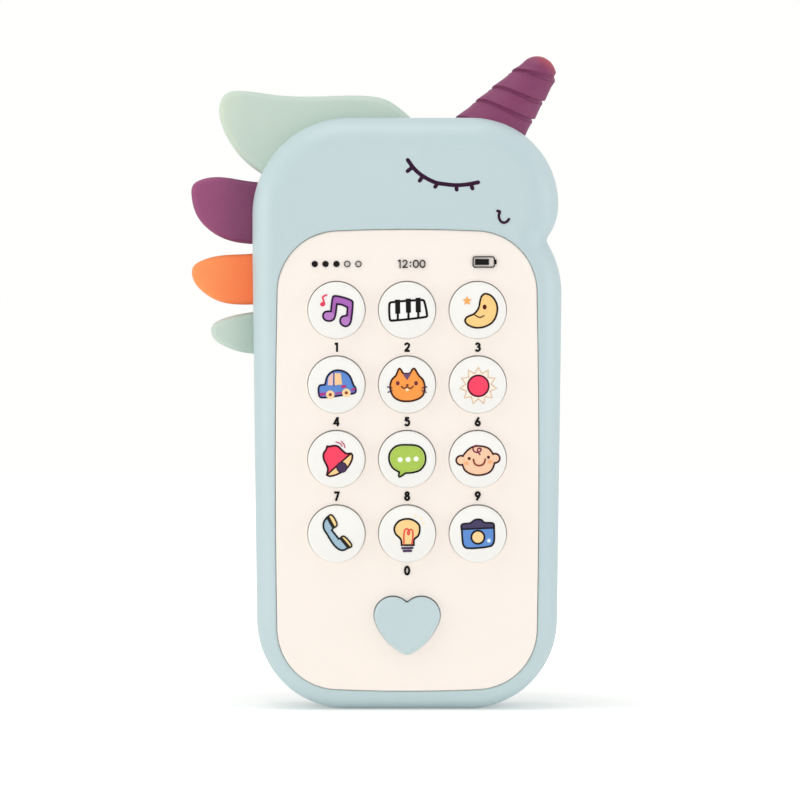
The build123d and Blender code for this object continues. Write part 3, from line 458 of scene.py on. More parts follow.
class Print:
    """Pad-printed ink: thin closed layers laid on a surface, each later one a little higher.
    The surface gives y in millimetres for any x and z from the picture's middle."""

    def __init__(self, surface, x=0.0, z=0.0):
        self.surface = surface
        self.x, self.z = x, z
        self.points, self.faces, self.inks = [], [], []
        self.count, self.layer = 0, 0

    def lay(self, rings, heights, ends, colour, joined):
        """Adds one layer: rings of x and z with their heights over the surface, and its two end points."""
        count, columns = rings.shape[:2]
        flat = rings.reshape(-1, 2)
        lift = np.broadcast_to(heights, (count, columns)).reshape(-1)
        if not joined:
            flat = np.vstack([flat, [e[0] for e in ends]])
            lift = np.append(lift, [e[1] for e in ends])
        y = self.surface(flat[:, 0], flat[:, 1]) - lift
        self.points.append(np.stack([flat[:, 0] + self.x, y, flat[:, 1] + self.z], axis=1))
        self.faces += loops_to_faces(count, columns, self.count, joined)
        self.inks.append(np.tile(srgb(*colour), (len(flat), 1)))
        self.count += len(flat)
        self.layer += 1

    def top(self):
        """The height of the layer that comes next."""
        return LIFT + LAYER_STEP * self.layer

    def fill(self, outline, colour, middle=None):
        """A patch: the outline drawn in towards its middle in five rings, with a rim down into the surface."""
        rim = np.asarray(outline, float)
        core = rim.mean(axis=0) if middle is None else np.asarray(middle, float)
        shares = np.array([1.0, 1.0, 0.8, 0.55, 0.3])[:, None, None]
        rings = core + (rim - core) * shares
        heights = np.array([-SINK] + [self.top()] * 4)[:, None]
        self.lay(rings, heights, [(core, -SINK), (core, self.top())], colour, False)

    def line(self, path, colour, width, closed=False, blunt=False):
        """A stroke: a flat-topped section carried along the path, mitred at its bends, with round ends."""
        mitre_limit = 1.6
        p = np.asarray(path, float)
        ahead = np.roll(p, -1, axis=0) - p
        ahead = ahead if closed else np.vstack([ahead[:-1], ahead[-2:-1]])
        ahead = ahead / np.maximum(np.linalg.norm(ahead, axis=1, keepdims=True), TINY)
        behind = np.roll(ahead, 1, axis=0) if closed else np.vstack([ahead[:1], ahead[:-1]])
        side = np.stack([-ahead[:, 1], ahead[:, 0]], axis=1) + np.stack([-behind[:, 1], behind[:, 0]], axis=1)
        size = np.maximum(np.linalg.norm(side, axis=1, keepdims=True), TINY)
        side = side / size * np.minimum(2 / size, mitre_limit)
        half = np.full(len(p), width / 2)
        if not closed and not blunt:
            turn = np.radians([80.0, 55.0, 30.0])
            out, thin = np.sin(turn) * width / 2, np.cos(turn) * width / 2
            p = np.vstack([p[0] - ahead[0] * out[:, None], p, p[-1] + ahead[-1] * out[::-1, None]])
            side = np.vstack([np.repeat(side[:1], 3, axis=0), side, np.repeat(side[-1:], 3, axis=0)])
            half = np.concatenate([thin, half, thin[::-1]])
        edge = side * half[:, None]
        rings = np.stack([p + edge, p + edge, p, p - edge, p - edge], axis=1)
        heights = np.array([-SINK, self.top(), self.top() + CREST, self.top(), -SINK])[None, :]
        ends = [(p[0], 0.0), (p[-1], 0.0)]
        self.lay(rings, heights, ends, colour, closed)

    def outlined(self, outline, colour, edge_colour, width, middle=None):
        """A patch with a closed stroke along its outline."""
        self.fill(outline, colour, middle)
        self.line(outline, edge_colour, width, closed=True)

    def piece(self, name, body, slot):
        """The finished print as one mesh that carries its colours in an attribute."""
        points = np.vstack(self.points) * MM
        piece = new_piece(name, points, self.faces, ink, body, slot)
        colours = piece.data.attributes.new("ink", "FLOAT_COLOR", "POINT")
        colours.data.foreach_set("color", np.vstack(self.inks).astype(np.float32).ravel())


ink = Finish("printed_ink", Specular_IOR_Level=0.12)
ink_colour = ink.node("ShaderNodeAttribute", {"attribute_name": "ink"})
ink_tone = ink.noise(1.2 * MM, 3.0)
ink.set("Base Color", ink.node("ShaderNodeHueSaturation", None, Color=ink_colour, Value=0.96 + 0.08 * ink_tone))
ink.set("Roughness", 0.38 + 0.12 * ink_tone)

shell_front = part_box("front_shell")[0].y / MM
face_ink = Print(lambda x, z: np.full_like(x, shell_front))
eye_purple = (48, 12, 46)
lid = [(0.17, 135.6), (1.7, 133.5), (3.8, 131.7), (6.9, 130.1), (9.7, 129.6), (12.1, 129.4), (14.85, 129.6),
       (17.5, 130.1)]
lashes = [[(1.4, 133.9), (0.1, 132.85)], [(3.8, 131.5), (3.1, 130.5)], [(7.4, 129.7), (6.9, 129.0)],
          [(12.1, 129.2), (12.2, 128.3)], [(15.7, 129.6), (16.1, 128.6)]]
nostril = [(22.35, 123.05), (22.8, 122.85), (22.62, 122.1), (22.66, 121.3), (23.1, 120.5), (23.85, 120.15),
           (24.65, 120.5), (25.1, 121.05)]
lid_width, lash_width, nostril_width = 0.98, 0.94, 0.64
face_ink.line(smooth(lid), eye_purple, lid_width)
for lash in lashes:
    face_ink.line(lash, eye_purple, lash_width)
face_ink.line(smooth(nostril), eye_purple, nostril_width)
face_ink.line(oval(22.3, 123.05, 0.1, count=12), eye_purple, 0.5, closed=True)
face_ink.piece("printed_face", "casing", "shell_blue")

# ---------------------------------------------------------------- faceplate
# A cream ABS panel set half a millimetre below the casing's rim. The status row and the digits under the
# keys are pad-printed on it in black; the digits are a bold plain sans.
dress(["faceplate"], moulded("plate_cream", (247, 237, 228), (249, 239, 231), 0.4, 0.2 * MM, 0.004 * MM))
plate_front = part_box("faceplate")[0].y / MM
plate_ink = Print(lambda x, z: np.full_like(x, plate_front))
black = (12, 10, 10)
GLYPHS = {
    "0": [(oval(0, 1.05, 0.46, 0.85, count=28), True)],
    "1": [([(0.12, 2.08), (0.12, 0.0)], False), ([(-0.36, 1.66), (0.02, 1.93)], False)],
    "2": [(np.vstack([smooth([(-0.46, 1.45), (-0.3, 1.78), (0.02, 1.88), (0.38, 1.66), (0.4, 1.3), (0.1, 0.8)]),
                      [(-0.45, 0.24)]]), False), ([(-0.6, 0.22), (0.58, 0.22)], False)],
    "3": [(smooth([(-0.44, 1.56), (-0.2, 1.85), (0.12, 1.86), (0.38, 1.62), (0.3, 1.27), (-0.08, 1.14)]), False),
          (smooth([(-0.08, 1.14), (0.34, 1.0), (0.46, 0.62), (0.2, 0.27), (-0.18, 0.22), (-0.5, 0.5)]), False)],
    "4": [([(0.2, 1.95), (-0.52, 0.62), (0.64, 0.62)], False), ([(0.26, 2.08), (0.26, 0.0)], False)],
    "5": [([(0.46, 1.86), (-0.22, 1.86), (-0.34, 1.16)], False),
          (smooth([(-0.34, 1.16), (0.0, 1.33), (0.38, 1.1), (0.44, 0.66), (0.18, 0.27), (-0.18, 0.22),
                   (-0.5, 0.48)]), False)],
    "6": [(oval(0.0, 0.66, 0.45, count=24), True), ([(0.26, 2.0), (-0.36, 0.98)], False)],
    "7": [([(-0.52, 1.86), (0.48, 1.86), (-0.12, 0.0)], False)],
    "8": [(oval(0, 1.54, 0.33, 0.34, count=22), True), (oval(0, 0.63, 0.44, 0.43, count=24), True)],
    "9": [(oval(0.0, 1.44, 0.45, count=24), True), ([(-0.26, 0.1), (0.36, 1.12)], False)],
}


def write_digit(digit, x, z, weight=0.54, wide=1.1, tall=1.1):
    """Strokes of a digit about x, standing on z. It is about 1.2 mm wide and 2.1 mm high before it is scaled."""
    for path, closed in GLYPHS[digit]:
        plate_ink.line(np.asarray(path, float) * (wide, tall) + (x, z), black, weight, closed, blunt=not closed)


key_names = ["key_1_music", "key_2_piano", "key_3_moon", "key_4_car", "key_5_cat", "key_6_sun", "key_7_bell",
             "key_8_speech", "key_9_baby", "key_handset", "key_0_bulb", "key_camera"]
digit_drop = 10.2
for name in key_names:
    digit = name.split("_")[1]
    if digit.isdigit():
        low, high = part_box(name)
        write_digit(digit, (low.x + high.x) / 2 / MM, (low.z + high.z) / 2 / MM - digit_drop)

status_z = 110.0
clock_foot = status_z - 1.05
for x in (-22.75, -20.1, -17.4):
    plate_ink.fill(oval(x, status_z, 0.78, count=28), black)
for x in (-14.75, -12.0):
    plate_ink.line(oval(x, status_z, 0.68, count=32), black, 0.22, closed=True)
for digit, x, wide in (("1", -1.85, 1.0), ("2", -0.5, 1.15), ("0", 2.15, 1.35), ("0", 3.8, 1.35)):
    write_digit(digit, x, clock_foot, 0.27, wide, 1.03)
for z in (status_z - 0.5, status_z + 0.4):
    plate_ink.fill(oval(0.82, z, 0.2, count=12), black)

battery_low, battery_high = status_z - 0.78, status_z + 1.78
battery_left, battery_right = 16.25, 21.5
charge_left, charge_right = battery_left + 0.5, 20.15
charge_low, charge_high = battery_low + 0.55, battery_high - 0.55
corner = 0.35
battery = smooth([(battery_left + corner, battery_low), (battery_right - corner, battery_low),
                  (battery_right, battery_low + corner), (battery_right, battery_high - corner),
                  (battery_right - corner, battery_high), (battery_left + corner, battery_high),
                  (battery_left, battery_high - corner), (battery_left, battery_low + corner)],
                 closed=True, sharp=range(8), steps=2)
plate_ink.line(battery, black, 0.26, closed=True)
plate_ink.fill([(charge_left, charge_low), (charge_right, charge_low), (charge_right, charge_high),
                (charge_left, charge_high)], black)
plate_ink.line([(battery_right + corner, status_z + 0.1), (battery_right + corner, status_z + 0.9)], black, 0.4)
plate_ink.piece("printed_digits", "casing", "plate_cream")

# ---------------------------------------------------------------- picture keys
# Twelve white ABS caps with a slight crown. Each is printed with a plain picture of what it plays: flat
# colours, then a dark outline. The layers follow the crown of the cap, and x and z count from its middle.
dress(key_names, moulded("key_white", (240, 238, 234), (244, 243, 239), 0.3, 0.3 * MM, 0.003 * MM))
crown_drop = 0.4
crown_reach = 6.2
crown_radius = (crown_reach**2 + crown_drop**2) / (2 * crown_drop)


def key_print(name):
    """A print whose surface is the cap's crown: the apex plus what a ball of the crown's radius falls away."""
    low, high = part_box(name)
    apex = low.y / MM
    crown = lambda x, z: apex + crown_radius - np.sqrt(crown_radius**2 - x**2 - z**2)
    return Print(crown, (low.x + high.x) / 2 / MM, (low.z + high.z) / 2 / MM)


pen = 0.46
thin_pen = 0.4
outline_ink = (24, 16, 22)

# Key 1: two joined lilac notes with a small red one beside them. Three bars and two heads lie under one outline.
art = key_print("key_1_music")
violet, lilac, plum, rose = (172, 104, 186), (186, 126, 198), (40, 14, 54), (232, 62, 98)
notes = smooth([(-0.95, 2.9), (-0.55, 3.5), (1.7, 3.15), (3.7, 2.4), (4.05, 1.85), (3.6, -2.6), (3.1, -3.6),
                (2.2, -3.95), (1.2, -3.4), (0.95, -2.4), (1.4, -1.6), (2.6, -1.3), (2.75, 0.7), (1.35, 1.35),
                (0.1, 1.5), (-0.2, -1.0), (-0.65, -2.2), (-1.6, -2.65), (-2.8, -2.35), (-3.3, -1.4),
                (-2.8, -0.45), (-1.35, -0.25)], closed=True, sharp=(11, 12, 14, 21))
left_stem = [(-1.35, -0.9), (-0.95, 2.9), (-0.55, 3.5), (0.35, 3.35), (0.1, 1.5), (-0.35, -1.7)]
beam = [(-0.6, 3.5), (1.7, 3.15), (3.7, 2.4), (4.05, 1.85), (3.9, 0.6), (2.75, 0.7), (1.35, 1.35), (0.1, 1.5)]
right_stem = [(2.7, 0.9), (4.0, 1.6), (3.55, -2.8), (2.6, -2.6)]
for bar, middle in ((left_stem, (-0.5, 1.0)), (beam, (1.7, 2.2)), (right_stem, (3.2, -0.5))):
    art.fill(bar, violet, middle)
art.fill(oval(-1.85, -1.45, 1.4, 1.15), lilac)
art.fill(oval(2.25, -2.65, 1.25), lilac)
art.line(notes, plum, pen, closed=True)
art.fill(oval(-3.35, 1.5, 0.66, 0.55, 20, 20), rose)
art.line(smooth([(-2.95, 1.6), (-3.2, 2.6), (-3.35, 3.25), (-2.4, 3.75)]), rose, 0.42)
art.piece("picture_music", "key_1_music", "key_white")

# Key 2: a piece of keyboard. Three black keys stick out over its back edge, each with the gap between two
# white keys below it.
art = key_print("key_2_piano")
key_gap_width = 0.56
keyboard = smooth([(-4.35, 1.5), (-3.9, 1.95), (3.75, 2.5), (4.2, 2.2), (4.9, -1.25), (4.55, -1.65),
                   (-3.8, -2.55), (-4.25, -2.2)], closed=True)
art.outlined(keyboard, (250, 250, 249), black, key_gap_width)
for top, low in (((-2.35, 2.6), (-2.3, -0.85)), ((0.28, 2.85), (0.33, -0.6)), ((2.7, 3.05), (2.75, -0.5))):
    art.line(np.linspace(top, low, 7), black, 1.25, blunt=True)
    art.line(np.linspace(low, (low[0], low[1] - 1.5), 4), black, key_gap_width, blunt=True)
art.piece("picture_keyboard", "key_2_piano", "key_white")

# Key 3: a smiling crescent moon, and a star with five points beside it.
art = key_print("key_3_moon")
moon = smooth([(1.9, 4.05), (3.4, 3.45), (4.6, 1.6), (4.7, -0.6), (3.7, -2.8), (1.8, -4.0), (-0.4, -4.3),
               (-2.3, -3.7), (-3.15, -2.7), (-2.75, -1.75), (-0.9, -0.85), (0.15, 0.5), (0.55, 2.3),
               (1.0, 3.55)], closed=True)
art.outlined(moon, (250, 210, 138), (44, 26, 12), pen, (2.2, -1.3))
art.fill(oval(1.65, 0.78, 0.48, 0.62, count=20), (84, 18, 14))
art.line(smooth([(-0.85, -1.1), (0.4, -1.75), (1.5, -1.35)]), (84, 46, 24), 0.3)
art.fill(starburst(-2.65, 2.3, 5, 1.2, 0.58), (247, 176, 100), (-2.65, 2.3))
art.piece("picture_moon", "key_3_moon", "key_white")

# Key 4: a small car seen from its left side, with a purple sill, two windows, magenta trim and two wheels.
art = key_print("key_4_car")
denim, navy, magenta = (96, 140, 212), (30, 30, 64), (190, 50, 120)
car = smooth([(-4.2, -0.3), (-2.8, 0.05), (-2.25, 2.0), (-1.2, 3.15), (0.3, 3.6), (2.2, 3.15), (3.4, 2.0),
              (4.2, 0.0), (4.75, -0.9), (4.55, -1.95), (2.6, -2.3), (0.1, -2.75), (-3.75, -3.1), (-4.3, -2.3)],
             closed=True, sharp=(1,))
sill = [(-4.2, -1.6), (4.5, -0.9), (4.4, -1.85), (2.6, -2.2), (0.1, -2.65), (-3.7, -3.0), (-4.15, -2.3)]
front_window = smooth([(-2.1, -0.1), (-1.9, 1.75), (-1.15, 2.75), (-0.8, 2.85), (-0.85, -0.1)], closed=True,
                      sharp=(0, 3, 4))
rear_window = smooth([(-0.4, -0.1), (-0.4, 2.9), (1.1, 2.85), (1.45, 0.1)], closed=True, sharp=(0, 1, 2, 3))
art.fill(car, denim, (0.2, -0.4))
art.fill(sill, (124, 118, 200), (0.0, -1.9))
art.line(car, navy, pen, closed=True)
art.fill(front_window, (238, 196, 186))
art.fill(rear_window, (250, 204, 156))
art.line([(-0.62, 3.1), (-0.62, -0.3)], (96, 90, 140), 0.24)
art.fill(oval(1.8, -0.4, 0.68, 0.34, 6, 20), magenta)
for trim, width in (([(-3.9, -2.35), (-2.9, -2.25)], 0.5), ([(3.9, -1.15), (4.5, -1.0)], 0.45),
                    ([(-0.1, -2.15), (1.2, -1.9)], 0.26)):
    art.line(trim, magenta, width)
for x, z in ((-1.5, -2.4), (2.45, -1.95)):
    art.fill(oval(x, z, 1.05, count=28), (254, 216, 164))
    art.fill(oval(x, z, 0.4, count=16), (152, 62, 34))
art.piece("picture_car", "key_4_car", "key_white")

# Key 5: a ginger cat's face with a mauve patch between its ears, and two whiskers on each side.
art = key_print("key_5_cat")
ginger, chestnut, mauve, whisker_ink = (252, 158, 76), (70, 32, 16), (112, 80, 116), (76, 44, 76)
cat = smooth([(-2.25, 3.5), (-1.9, 4.0), (-1.5, 3.7), (-0.95, 2.85), (-0.1, 2.75), (0.7, 2.85), (1.25, 3.75),
              (1.7, 4.0), (2.1, 3.6), (2.85, 2.35), (3.95, 1.1), (4.35, -0.9), (3.7, -2.8), (1.8, -3.8),
              (-0.1, -4.05), (-1.9, -3.8), (-3.4, -2.8), (-4.15, -0.8), (-3.85, 1.1), (-2.75, 2.35)], closed=True)
patch = [(-0.95, 2.75), (0.85, 2.75), (0.75, 2.2), (0.42, 1.9), (0.3, 1.55), (-0.05, 1.15), (-0.35, 1.6),
         (-0.55, 1.9), (-0.85, 2.2)]
cat_mouth = smooth([(-1.4, -0.4), (-0.75, -0.85), (0.0, -0.45), (0.78, -0.88), (1.5, -0.35)], sharp=(2,))
art.outlined(cat, ginger, chestnut, pen, (0.0, -0.8))
art.fill(patch, mauve, (-0.05, 2.2))
for x in (-2.3, 2.2):
    art.fill(oval(x, 0.4, 0.46, 0.54, count=20), (118, 50, 60))
art.fill(oval(0.0, -1.2, 0.46, 0.34, count=16), (255, 232, 186))
art.fill(oval(0.05, -0.05, 0.32, 0.26, count=14), (112, 54, 40))
art.line(cat_mouth, (116, 54, 34), 0.32)
for side in (-1, 1):
    art.line([(side * 3.75, -0.75), (side * 4.85, -0.5)], whisker_ink, 0.28)
    art.line([(side * 3.7, -1.4), (side * 4.7, -1.85)], whisker_ink, 0.28)
art.piece("picture_cat", "key_5_cat", "key_white")

# Key 6: a red sun on a burst of eleven pale rays with a thin sandy outline.
art = key_print("key_6_sun")
sun_x, sun_z = 0.1, -0.25
rays = starburst(sun_x, sun_z, 11, 4.55, 3.15)
art.outlined(rays, (253, 242, 228), (226, 194, 164), 0.27, (sun_x, sun_z))
art.outlined(oval(sun_x, sun_z, 2.58), (250, 72, 104), (84, 16, 38), 0.42)
art.piece("picture_sun", "key_6_sun", "key_white")

# Key 7: a red bell that swings to the left. Its rim is a straight line between the bell and its open mouth,
# and the clapper shows in front of the mouth.
art = key_print("key_7_bell")
bell_ink, ring_ink = (56, 12, 24), (190, 90, 116)
rim_from, rim_to = (-2.35, -3.8), (3.6, 1.5)
rim = np.linspace(rim_to, rim_from, 16)
bell = smooth([rim_from, (-2.1, -2.2), (-3.1, 0.1), (-3.15, 1.4), (-2.5, 2.5), (-2.25, 3.25), (-1.7, 3.2),
               (-0.6, 3.4), (0.4, 3.2), (1.4, 2.3), (2.4, 1.5), rim_to], sharp=(0, 5, 11))
mouth = smooth([rim_to, (3.95, 1.0), (3.7, -0.4), (2.5, -2.2), (0.3, -3.6), (-1.6, -4.1), rim_from], sharp=(0, 6))
art.fill(np.vstack([bell, rim[1:-1]]), (250, 72, 102), (-0.6, 0.4))
art.fill(np.vstack([mouth, rim[-2:0:-1]]), (250, 212, 150), (1.2, -1.6))
art.line(np.vstack([bell, mouth[1:]]), bell_ink, pen)
art.line(rim, bell_ink, thin_pen)
art.outlined(oval(1.35, -1.95, 1.24, count=32), (74, 52, 86), (44, 28, 56), 0.24)
for sound in ([(-0.1, 4.3), (0.9, 3.95), (1.4, 3.3)], [(1.25, 4.45), (1.9, 3.7), (2.1, 2.95)]):
    art.line(smooth(sound), ring_ink, 0.28)
art.piece("picture_bell", "key_7_bell", "key_white")

# Key 8: a green speech bubble with a paler rim inside its outline, and three white dots.
art = key_print("key_8_speech")
bubble = smooth([(-2.6, 3.3), (0.3, 3.6), (2.9, 3.2), (4.3, 1.6), (4.45, -0.7), (3.3, -2.5), (1.4, -3.2),
                 (-0.4, -3.35), (-1.55, -4.15), (-2.0, -4.2), (-1.95, -3.1), (-3.5, -2.1), (-4.4, -0.3),
                 (-4.2, 1.7)], closed=True, sharp=(7, 10))
art.fill(bubble, (206, 224, 132), (0.0, 0.2))
art.fill(bubble * 0.9 + (0.0, 0.02), (174, 204, 88), (0.0, 0.2))
art.line(bubble, (24, 36, 14), pen, closed=True)
for x, z in ((-1.7, -0.05), (0.25, 0.0), (2.2, 0.15)):
    art.fill(oval(x, z, 0.62, count=22), (250, 253, 240))
art.piece("picture_speech", "key_8_speech", "key_white")

# Key 9: a baby's face. The outlines of the head and ears are laid first and filled over, so they run together.
art = key_print("key_9_baby")
skin, brown = (250, 206, 172), (70, 30, 28)
head = smooth([(0.2, 3.1), (2.4, 2.6), (3.35, 1.5), (3.85, 0.4), (3.85, -0.9), (3.0, -2.7), (1.0, -3.55),
               (-1.1, -3.5), (-2.9, -2.6), (-3.55, -1.3), (-3.7, 0.0), (-3.1, 1.3), (-1.5, 2.75)], closed=True)
ears = [oval(-4.15, -0.2, 0.95, 0.9, count=28), oval(4.2, 0.3, 0.95, 0.9, count=28)]
curl = smooth([(-0.55, 3.45), (-1.2, 2.8), (-0.8, 1.9), (0.4, 1.9), (0.75, 2.6), (0.1, 2.7), (-0.1, 2.1),
               (0.5, 1.2)])
smile = smooth([(-1.1, 0.0), (-0.75, -1.05), (0.3, -1.5), (1.4, -1.05), (1.8, 0.05)])
for shape in (head, *ears):
    art.line(shape, brown, 2 * pen, closed=True)
for shape in (*ears, head):
    art.fill(shape, skin)
for x, z in ((-2.8, -0.95), (3.0, -0.6)):
    art.fill(oval(x, z, 0.62, 0.46, count=20), (249, 178, 128))
art.line(curl, (122, 40, 72), 0.36)
for x, z in ((-2.15, 0.25), (2.6, 0.55)):
    art.fill(oval(x, z, 0.38, count=16), (92, 30, 30))
art.line(smile, (140, 62, 50), 0.42)
art.piece("picture_baby", "key_9_baby", "key_white")

# The last row's left key: a telephone handset in pale blue. Its fill is three patches, with a yellow pad and
# a dark seam at the ear and at the lip.
art = key_print("key_handset")
custard, seam_ink, handset_blue = (250, 218, 152), (52, 46, 38), (164, 192, 210)
handle = smooth([(-2.3, 4.15), (-3.1, 2.9), (-3.1, 1.4), (-2.3, 0.0), (-0.7, -2.5), (0.6, -3.7), (1.7, -3.95),
                 (2.9, -3.4), (0.95, -1.0), (0.55, -1.15), (-1.1, 0.95), (-0.8, 1.5)], closed=True,
                sharp=(0, 7, 8, 9, 10, 11))
upper = [(-2.3, 4.15), (-3.1, 2.9), (-3.1, 1.4), (-2.3, 0.0), (-1.1, 0.95), (-0.8, 1.5)]
grip = [(-2.3, 0.0), (-0.7, -2.5), (0.55, -1.15), (-1.1, 0.95)]
lower = [(-0.7, -2.5), (0.6, -3.7), (1.7, -3.95), (2.9, -3.4), (0.95, -1.0), (0.55, -1.15)]
ear = smooth([(-2.1, 4.2), (-1.5, 4.75), (-0.85, 4.45), (0.05, 2.9), (0.1, 2.1), (-0.7, 1.5)], closed=True,
             sharp=(0, 5))
lip = smooth([(1.0, -0.95), (1.65, -0.5), (2.35, -0.85), (3.65, -2.4), (3.7, -3.05), (3.0, -3.4)], closed=True,
             sharp=(0, 5))
for shape, middle in ((upper, (-2.1, 1.9)), (grip, None), (lower, (1.0, -2.6))):
    art.fill(shape, handset_blue, middle)
for pad in (ear, lip):
    art.fill(pad, custard)
art.line(handle, (20, 34, 40), pen, closed=True)
for pad in (ear, lip):
    art.line(pad, (36, 30, 22), thin_pen, closed=True)
for seam in ([(-1.8, 4.15), (-0.55, 1.85)], [(1.4, -0.95), (3.2, -3.05)]):
    art.line(seam, seam_ink, 0.34)
art.piece("picture_handset", "key_handset", "key_white")

# Key 0: a light bulb with a red filament, two bars for its screw cap, and three faint dots beside it.
art = key_print("key_0_bulb")
cap_ink = (82, 62, 94)
bulb = smooth([(-0.1, 3.75), (1.5, 3.45), (2.9, 2.3), (3.1, 0.9), (2.7, -0.4), (1.75, -1.3), (1.65, -2.7),
               (-1.35, -2.7), (-1.55, -1.3), (-2.9, 0.2), (-3.1, 1.7), (-2.0, 3.2)], closed=True, sharp=(6, 7))
filament = smooth([(-0.8, -2.4), (-0.7, 0.6), (-0.15, 1.3), (0.5, 0.8), (0.4, -0.1), (0.1, 0.4), (0.7, 1.1),
                   (1.3, 0.9), (1.4, -0.7), (1.15, -2.4)])
art.outlined(bulb, (250, 212, 146), outline_ink, pen, (-0.1, 0.4))
art.line(filament, (234, 86, 78), thin_pen)
art.line([(-1.2, -3.45), (1.3, -3.4)], cap_ink, 0.6)
art.line([(-0.8, -4.15), (0.95, -4.1)], cap_ink, 0.62)
for x, z in ((2.1, 4.6), (3.4, 3.9), (4.0, 2.65)):
    art.fill(oval(x, z, 0.36, count=16), (250, 234, 202))
art.piece("picture_bulb", "key_0_bulb", "key_white")

# The last row's right key: a blue camera with a dark hood, a yellow lens and a white sparkle.
art = key_print("key_camera")
case = smooth([(-4.0, 1.6), (4.0, 1.8), (4.0, -1.6), (3.6, -2.6), (2.9, -3.0), (0.1, -3.4), (-2.6, -3.45),
               (-3.3, -3.1), (-3.7, -2.2)], closed=True, sharp=(0, 1))
hood = smooth([(-4.05, 1.2), (-4.1, 2.1), (-3.7, 2.5), (-1.9, 2.75), (-0.8, 3.5), (0.1, 3.65), (0.9, 3.5),
               (1.6, 2.9), (3.5, 2.75), (3.95, 2.4), (3.95, 1.55)], closed=True, sharp=(0, 10))
art.outlined(case, (98, 144, 212), outline_ink, pen, (0.1, -0.5))
art.outlined(hood, (72, 64, 98), outline_ink, thin_pen, (0.0, 1.9))
art.outlined(oval(0.0, -0.75, 1.6), (250, 214, 154), outline_ink, pen)
art.fill(oval(2.7, -1.6, 0.62, count=20), (150, 190, 236))
art.fill(oval(2.7, -1.6, 0.34, count=16), (250, 252, 255))
art.piece("picture_camera", "key_camera", "key_white")

# ---------------------------------------------------------------- heart button
# The big key at the bottom: one heart-shaped cap in the casing's blue, a touch glossier. It carries no
# print.
dress(["heart_button"], moulded("heart_blue", (188, 207, 212), (195, 213, 215), 0.33))

# ---------------------------------------------------------------- case and door screws
# Zinc-plated self-tapping screws in the six wells of the back, and two captive ones in the door. They have
# the finish of the small screws inside.
dress(["case_screws", "door_screws"], screw_steel)

# ---------------------------------------------------------------- mane
# Four soft silicone locks rooted in the casing's seam. Silicone is matt and lets a little light through.
# Each lock's colour is painted darker where it meets the casing, as painted shade from the casing, and paler
# towards its tip, as painted light showing through the silicone.
seat_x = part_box("rear_shell")[0].x


def silicone(name, deep, pale_and_lit, reach):
    """Soft silicone with painted shade and light: darker at the seat, where the casing shades it, and paler a given
    reach from it, where light shows through, with a powdery, slightly uneven skin.
    """
    finish = Finish(name, IOR=1.42, Specular_IOR_Level=0.35, Subsurface_Weight=0.12, Subsurface_Scale=0.8 * MM)
    # Painted shade and light: the colour runs from the shaded colour at the casing's seam to the lit, paler colour
    # a reach away along X.
    away = (seat_x - finish.along("X")) / reach + 0.25 * (finish.noise(9 * MM) - 0.5)
    shaded_to_lit = finish.node("ShaderNodeMapRange", {"interpolation_type": "SMOOTHSTEP"}, Value=away)
    finish.set("Base Color", finish.mix(shaded_to_lit, srgb(*deep), srgb(*pale_and_lit)))
    finish.set("Roughness", 0.5 + 0.14 * finish.noise(3 * MM, 4.0))
    return finish.bump(finish.noise(0.35 * MM, 3.0), 0.012 * MM)


# In each lock the first colour is the painted shade at the casing and the second the painted lighter tip.
dress(["mane_top"], silicone("silicone_sage", (197, 213, 201), (207, 221, 203), 10 * MM))
dress(["mane_upper"], silicone("silicone_purple", (122, 62, 98), (152, 78, 120), 14 * MM))
dress(["mane_middle"], silicone("silicone_orange", (252, 125, 72), (255, 151, 90), 14 * MM))
dress(["mane_lower"], silicone("silicone_mint", (178, 196, 186), (199, 214, 203), 9 * MM))

# ---------------------------------------------------------------- horn
# A soft purple silicone horn with a two-start spiral groove, leaning away from the mane, with a warm tint at
# the right of its tip. It replaces the plain cone of the solid model, and takes its seat from that cone's box.
horn_lean = radians(39.6)
horn_base_radius = 8.0
horn_tip_radius = 4.7
horn_straight = 17.3
horn_sunk = 5.0
solid_tip_radius = 4.6
solid_straight = 17.2
solid_low, solid_high = (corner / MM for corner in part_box("horn"))
horn_seat = (solid_high.x - solid_tip_radius - solid_straight * sin(horn_lean), (solid_low.y + solid_high.y) / 2,
             solid_high.z - solid_tip_radius - solid_straight * cos(horn_lean))
groove_turn = 11.56
groove_start = 2.73
second_groove = 5.15
groove_width = 1.1
groove_depth = 0.5
groove_wall, ledge_wall = 0.1, 0.16
floor_share = 0.75
swell_height, swell_reach = 0.28, 3.4
lip_height, lip_away, lip_width = 0.1, 0.2, 0.22
fade_middle, fade_swing, fade_length = 17.9, 2.7, 1.2
undercut_height, undercut_depth = 1.0, 0.575
warm_height, warm_soft = 149.4 * MM, 2.4 * MM


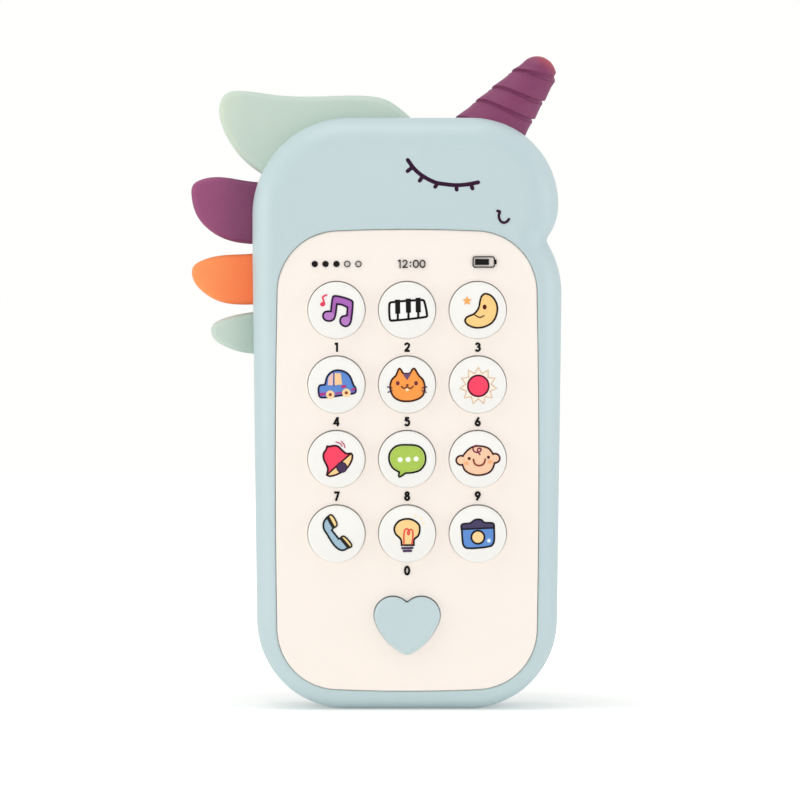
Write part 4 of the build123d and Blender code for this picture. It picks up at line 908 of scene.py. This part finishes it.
def spiral_horn():
    """A grid of rings along the axis and points round it. The ring radius shrinks evenly, then as the square
    root of one minus the square of the way through the round tip. Two grooves climb by the same rise a turn.
    The relief depends on how far a point lies above the groove under it and below the next one: a channel of
    the groove's depth with a lip along its lower side, and a swell that dies away above it. It fades out below
    the tip, where the last groove widens to the right by half of one minus the cosine of the turn."""
    low = np.linspace(-horn_sunk, horn_straight, 300, endpoint=False)
    cap = horn_straight + horn_tip_radius * np.sin(np.linspace(0, pi / 2, 60, endpoint=False))
    s = np.concatenate([low, cap])[:, None]
    turn = np.linspace(0, 2 * pi, 144, endpoint=False)[None, :]
    cone = horn_base_radius + (horn_tip_radius - horn_base_radius) * s / horn_straight
    into_cap = np.clip((s - horn_straight) / horn_tip_radius, 0, 1)
    radius = np.where(s > horn_straight, horn_tip_radius, cone) * np.sqrt(1 - into_cap**2)

    rise = groove_turn * turn / (2 * pi)
    climb = (s - groove_start - rise) % groove_turn
    past_second = climb > second_groove
    above = np.where(past_second, climb - second_groove, climb)
    below = np.where(past_second, groove_turn - climb, second_groove - climb)
    swell = swell_height * np.clip(1 - above / swell_reach, 0, 1) * np.clip(above / groove_wall, 0, 1)
    channel = np.clip(below / groove_wall, 0, 1) * np.clip((groove_width - below) / ledge_wall, 0, 1)
    floor_tilt = floor_share + (1 - floor_share) * np.clip(1 - below / groove_width, 0, 1)
    lip = lip_height * np.exp(-(((below - groove_width - lip_away) / lip_width) ** 2))
    fade_from = fade_middle - fade_swing * np.cos(turn)
    fade = 1 - np.clip((s - fade_from) / fade_length, 0, 1)
    radius = radius + fade * (swell + lip - groove_depth * channel * floor_tilt)

    last_groove = groove_start + groove_turn + rise
    widened = last_groove + undercut_height * (1 - np.cos(turn)) / 2
    undercut = np.clip(1 + (s - last_groove) / groove_wall, 0, 1) * np.clip((widened - s) / groove_wall, 0, 1)
    radius = np.maximum(radius - undercut_depth * undercut, 0.0)

    across, deep = -radius * np.cos(turn), -radius * np.sin(turn)
    along = np.broadcast_to(s, across.shape)
    grid = np.stack([horn_seat[0] + across * cos(horn_lean) + along * sin(horn_lean), horn_seat[1] + deep,
                     horn_seat[2] - across * sin(horn_lean) + along * cos(horn_lean)], axis=-1)
    ends = [(horn_seat[0] + d * sin(horn_lean), horn_seat[1], horn_seat[2] + d * cos(horn_lean))
            for d in (-horn_sunk, horn_straight + horn_tip_radius)]
    points = np.vstack([grid.reshape(-1, 3), ends]) * MM
    return points, loops_to_faces(grid.shape[0], grid.shape[1], 0, False)


horn_finish = Finish("horn_purple", IOR=1.42, Specular_IOR_Level=0.3, Subsurface_Weight=0.12,
                     Subsurface_Scale=0.8 * MM)
horn_body = horn_finish.mix(horn_finish.noise(5 * MM, 3.0), srgb(125, 58, 96), srgb(138, 69, 107))
warm = (0.6 * horn_finish.along("X") + 0.8 * horn_finish.along("Z")).above(warm_height, warm_soft)
horn_finish.set("Base Color", horn_finish.mix(0.62 * warm, horn_body, srgb(212, 92, 78)))
horn_finish.set("Roughness", 0.46 + 0.14 * horn_finish.noise(3 * MM, 4.0))
horn_finish.bump(horn_finish.noise(0.35 * MM, 3.0), 0.012 * MM)
horn = new_piece("spiral_horn", *spiral_horn(), horn_finish, "casing", "horn_purple")
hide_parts("horn")
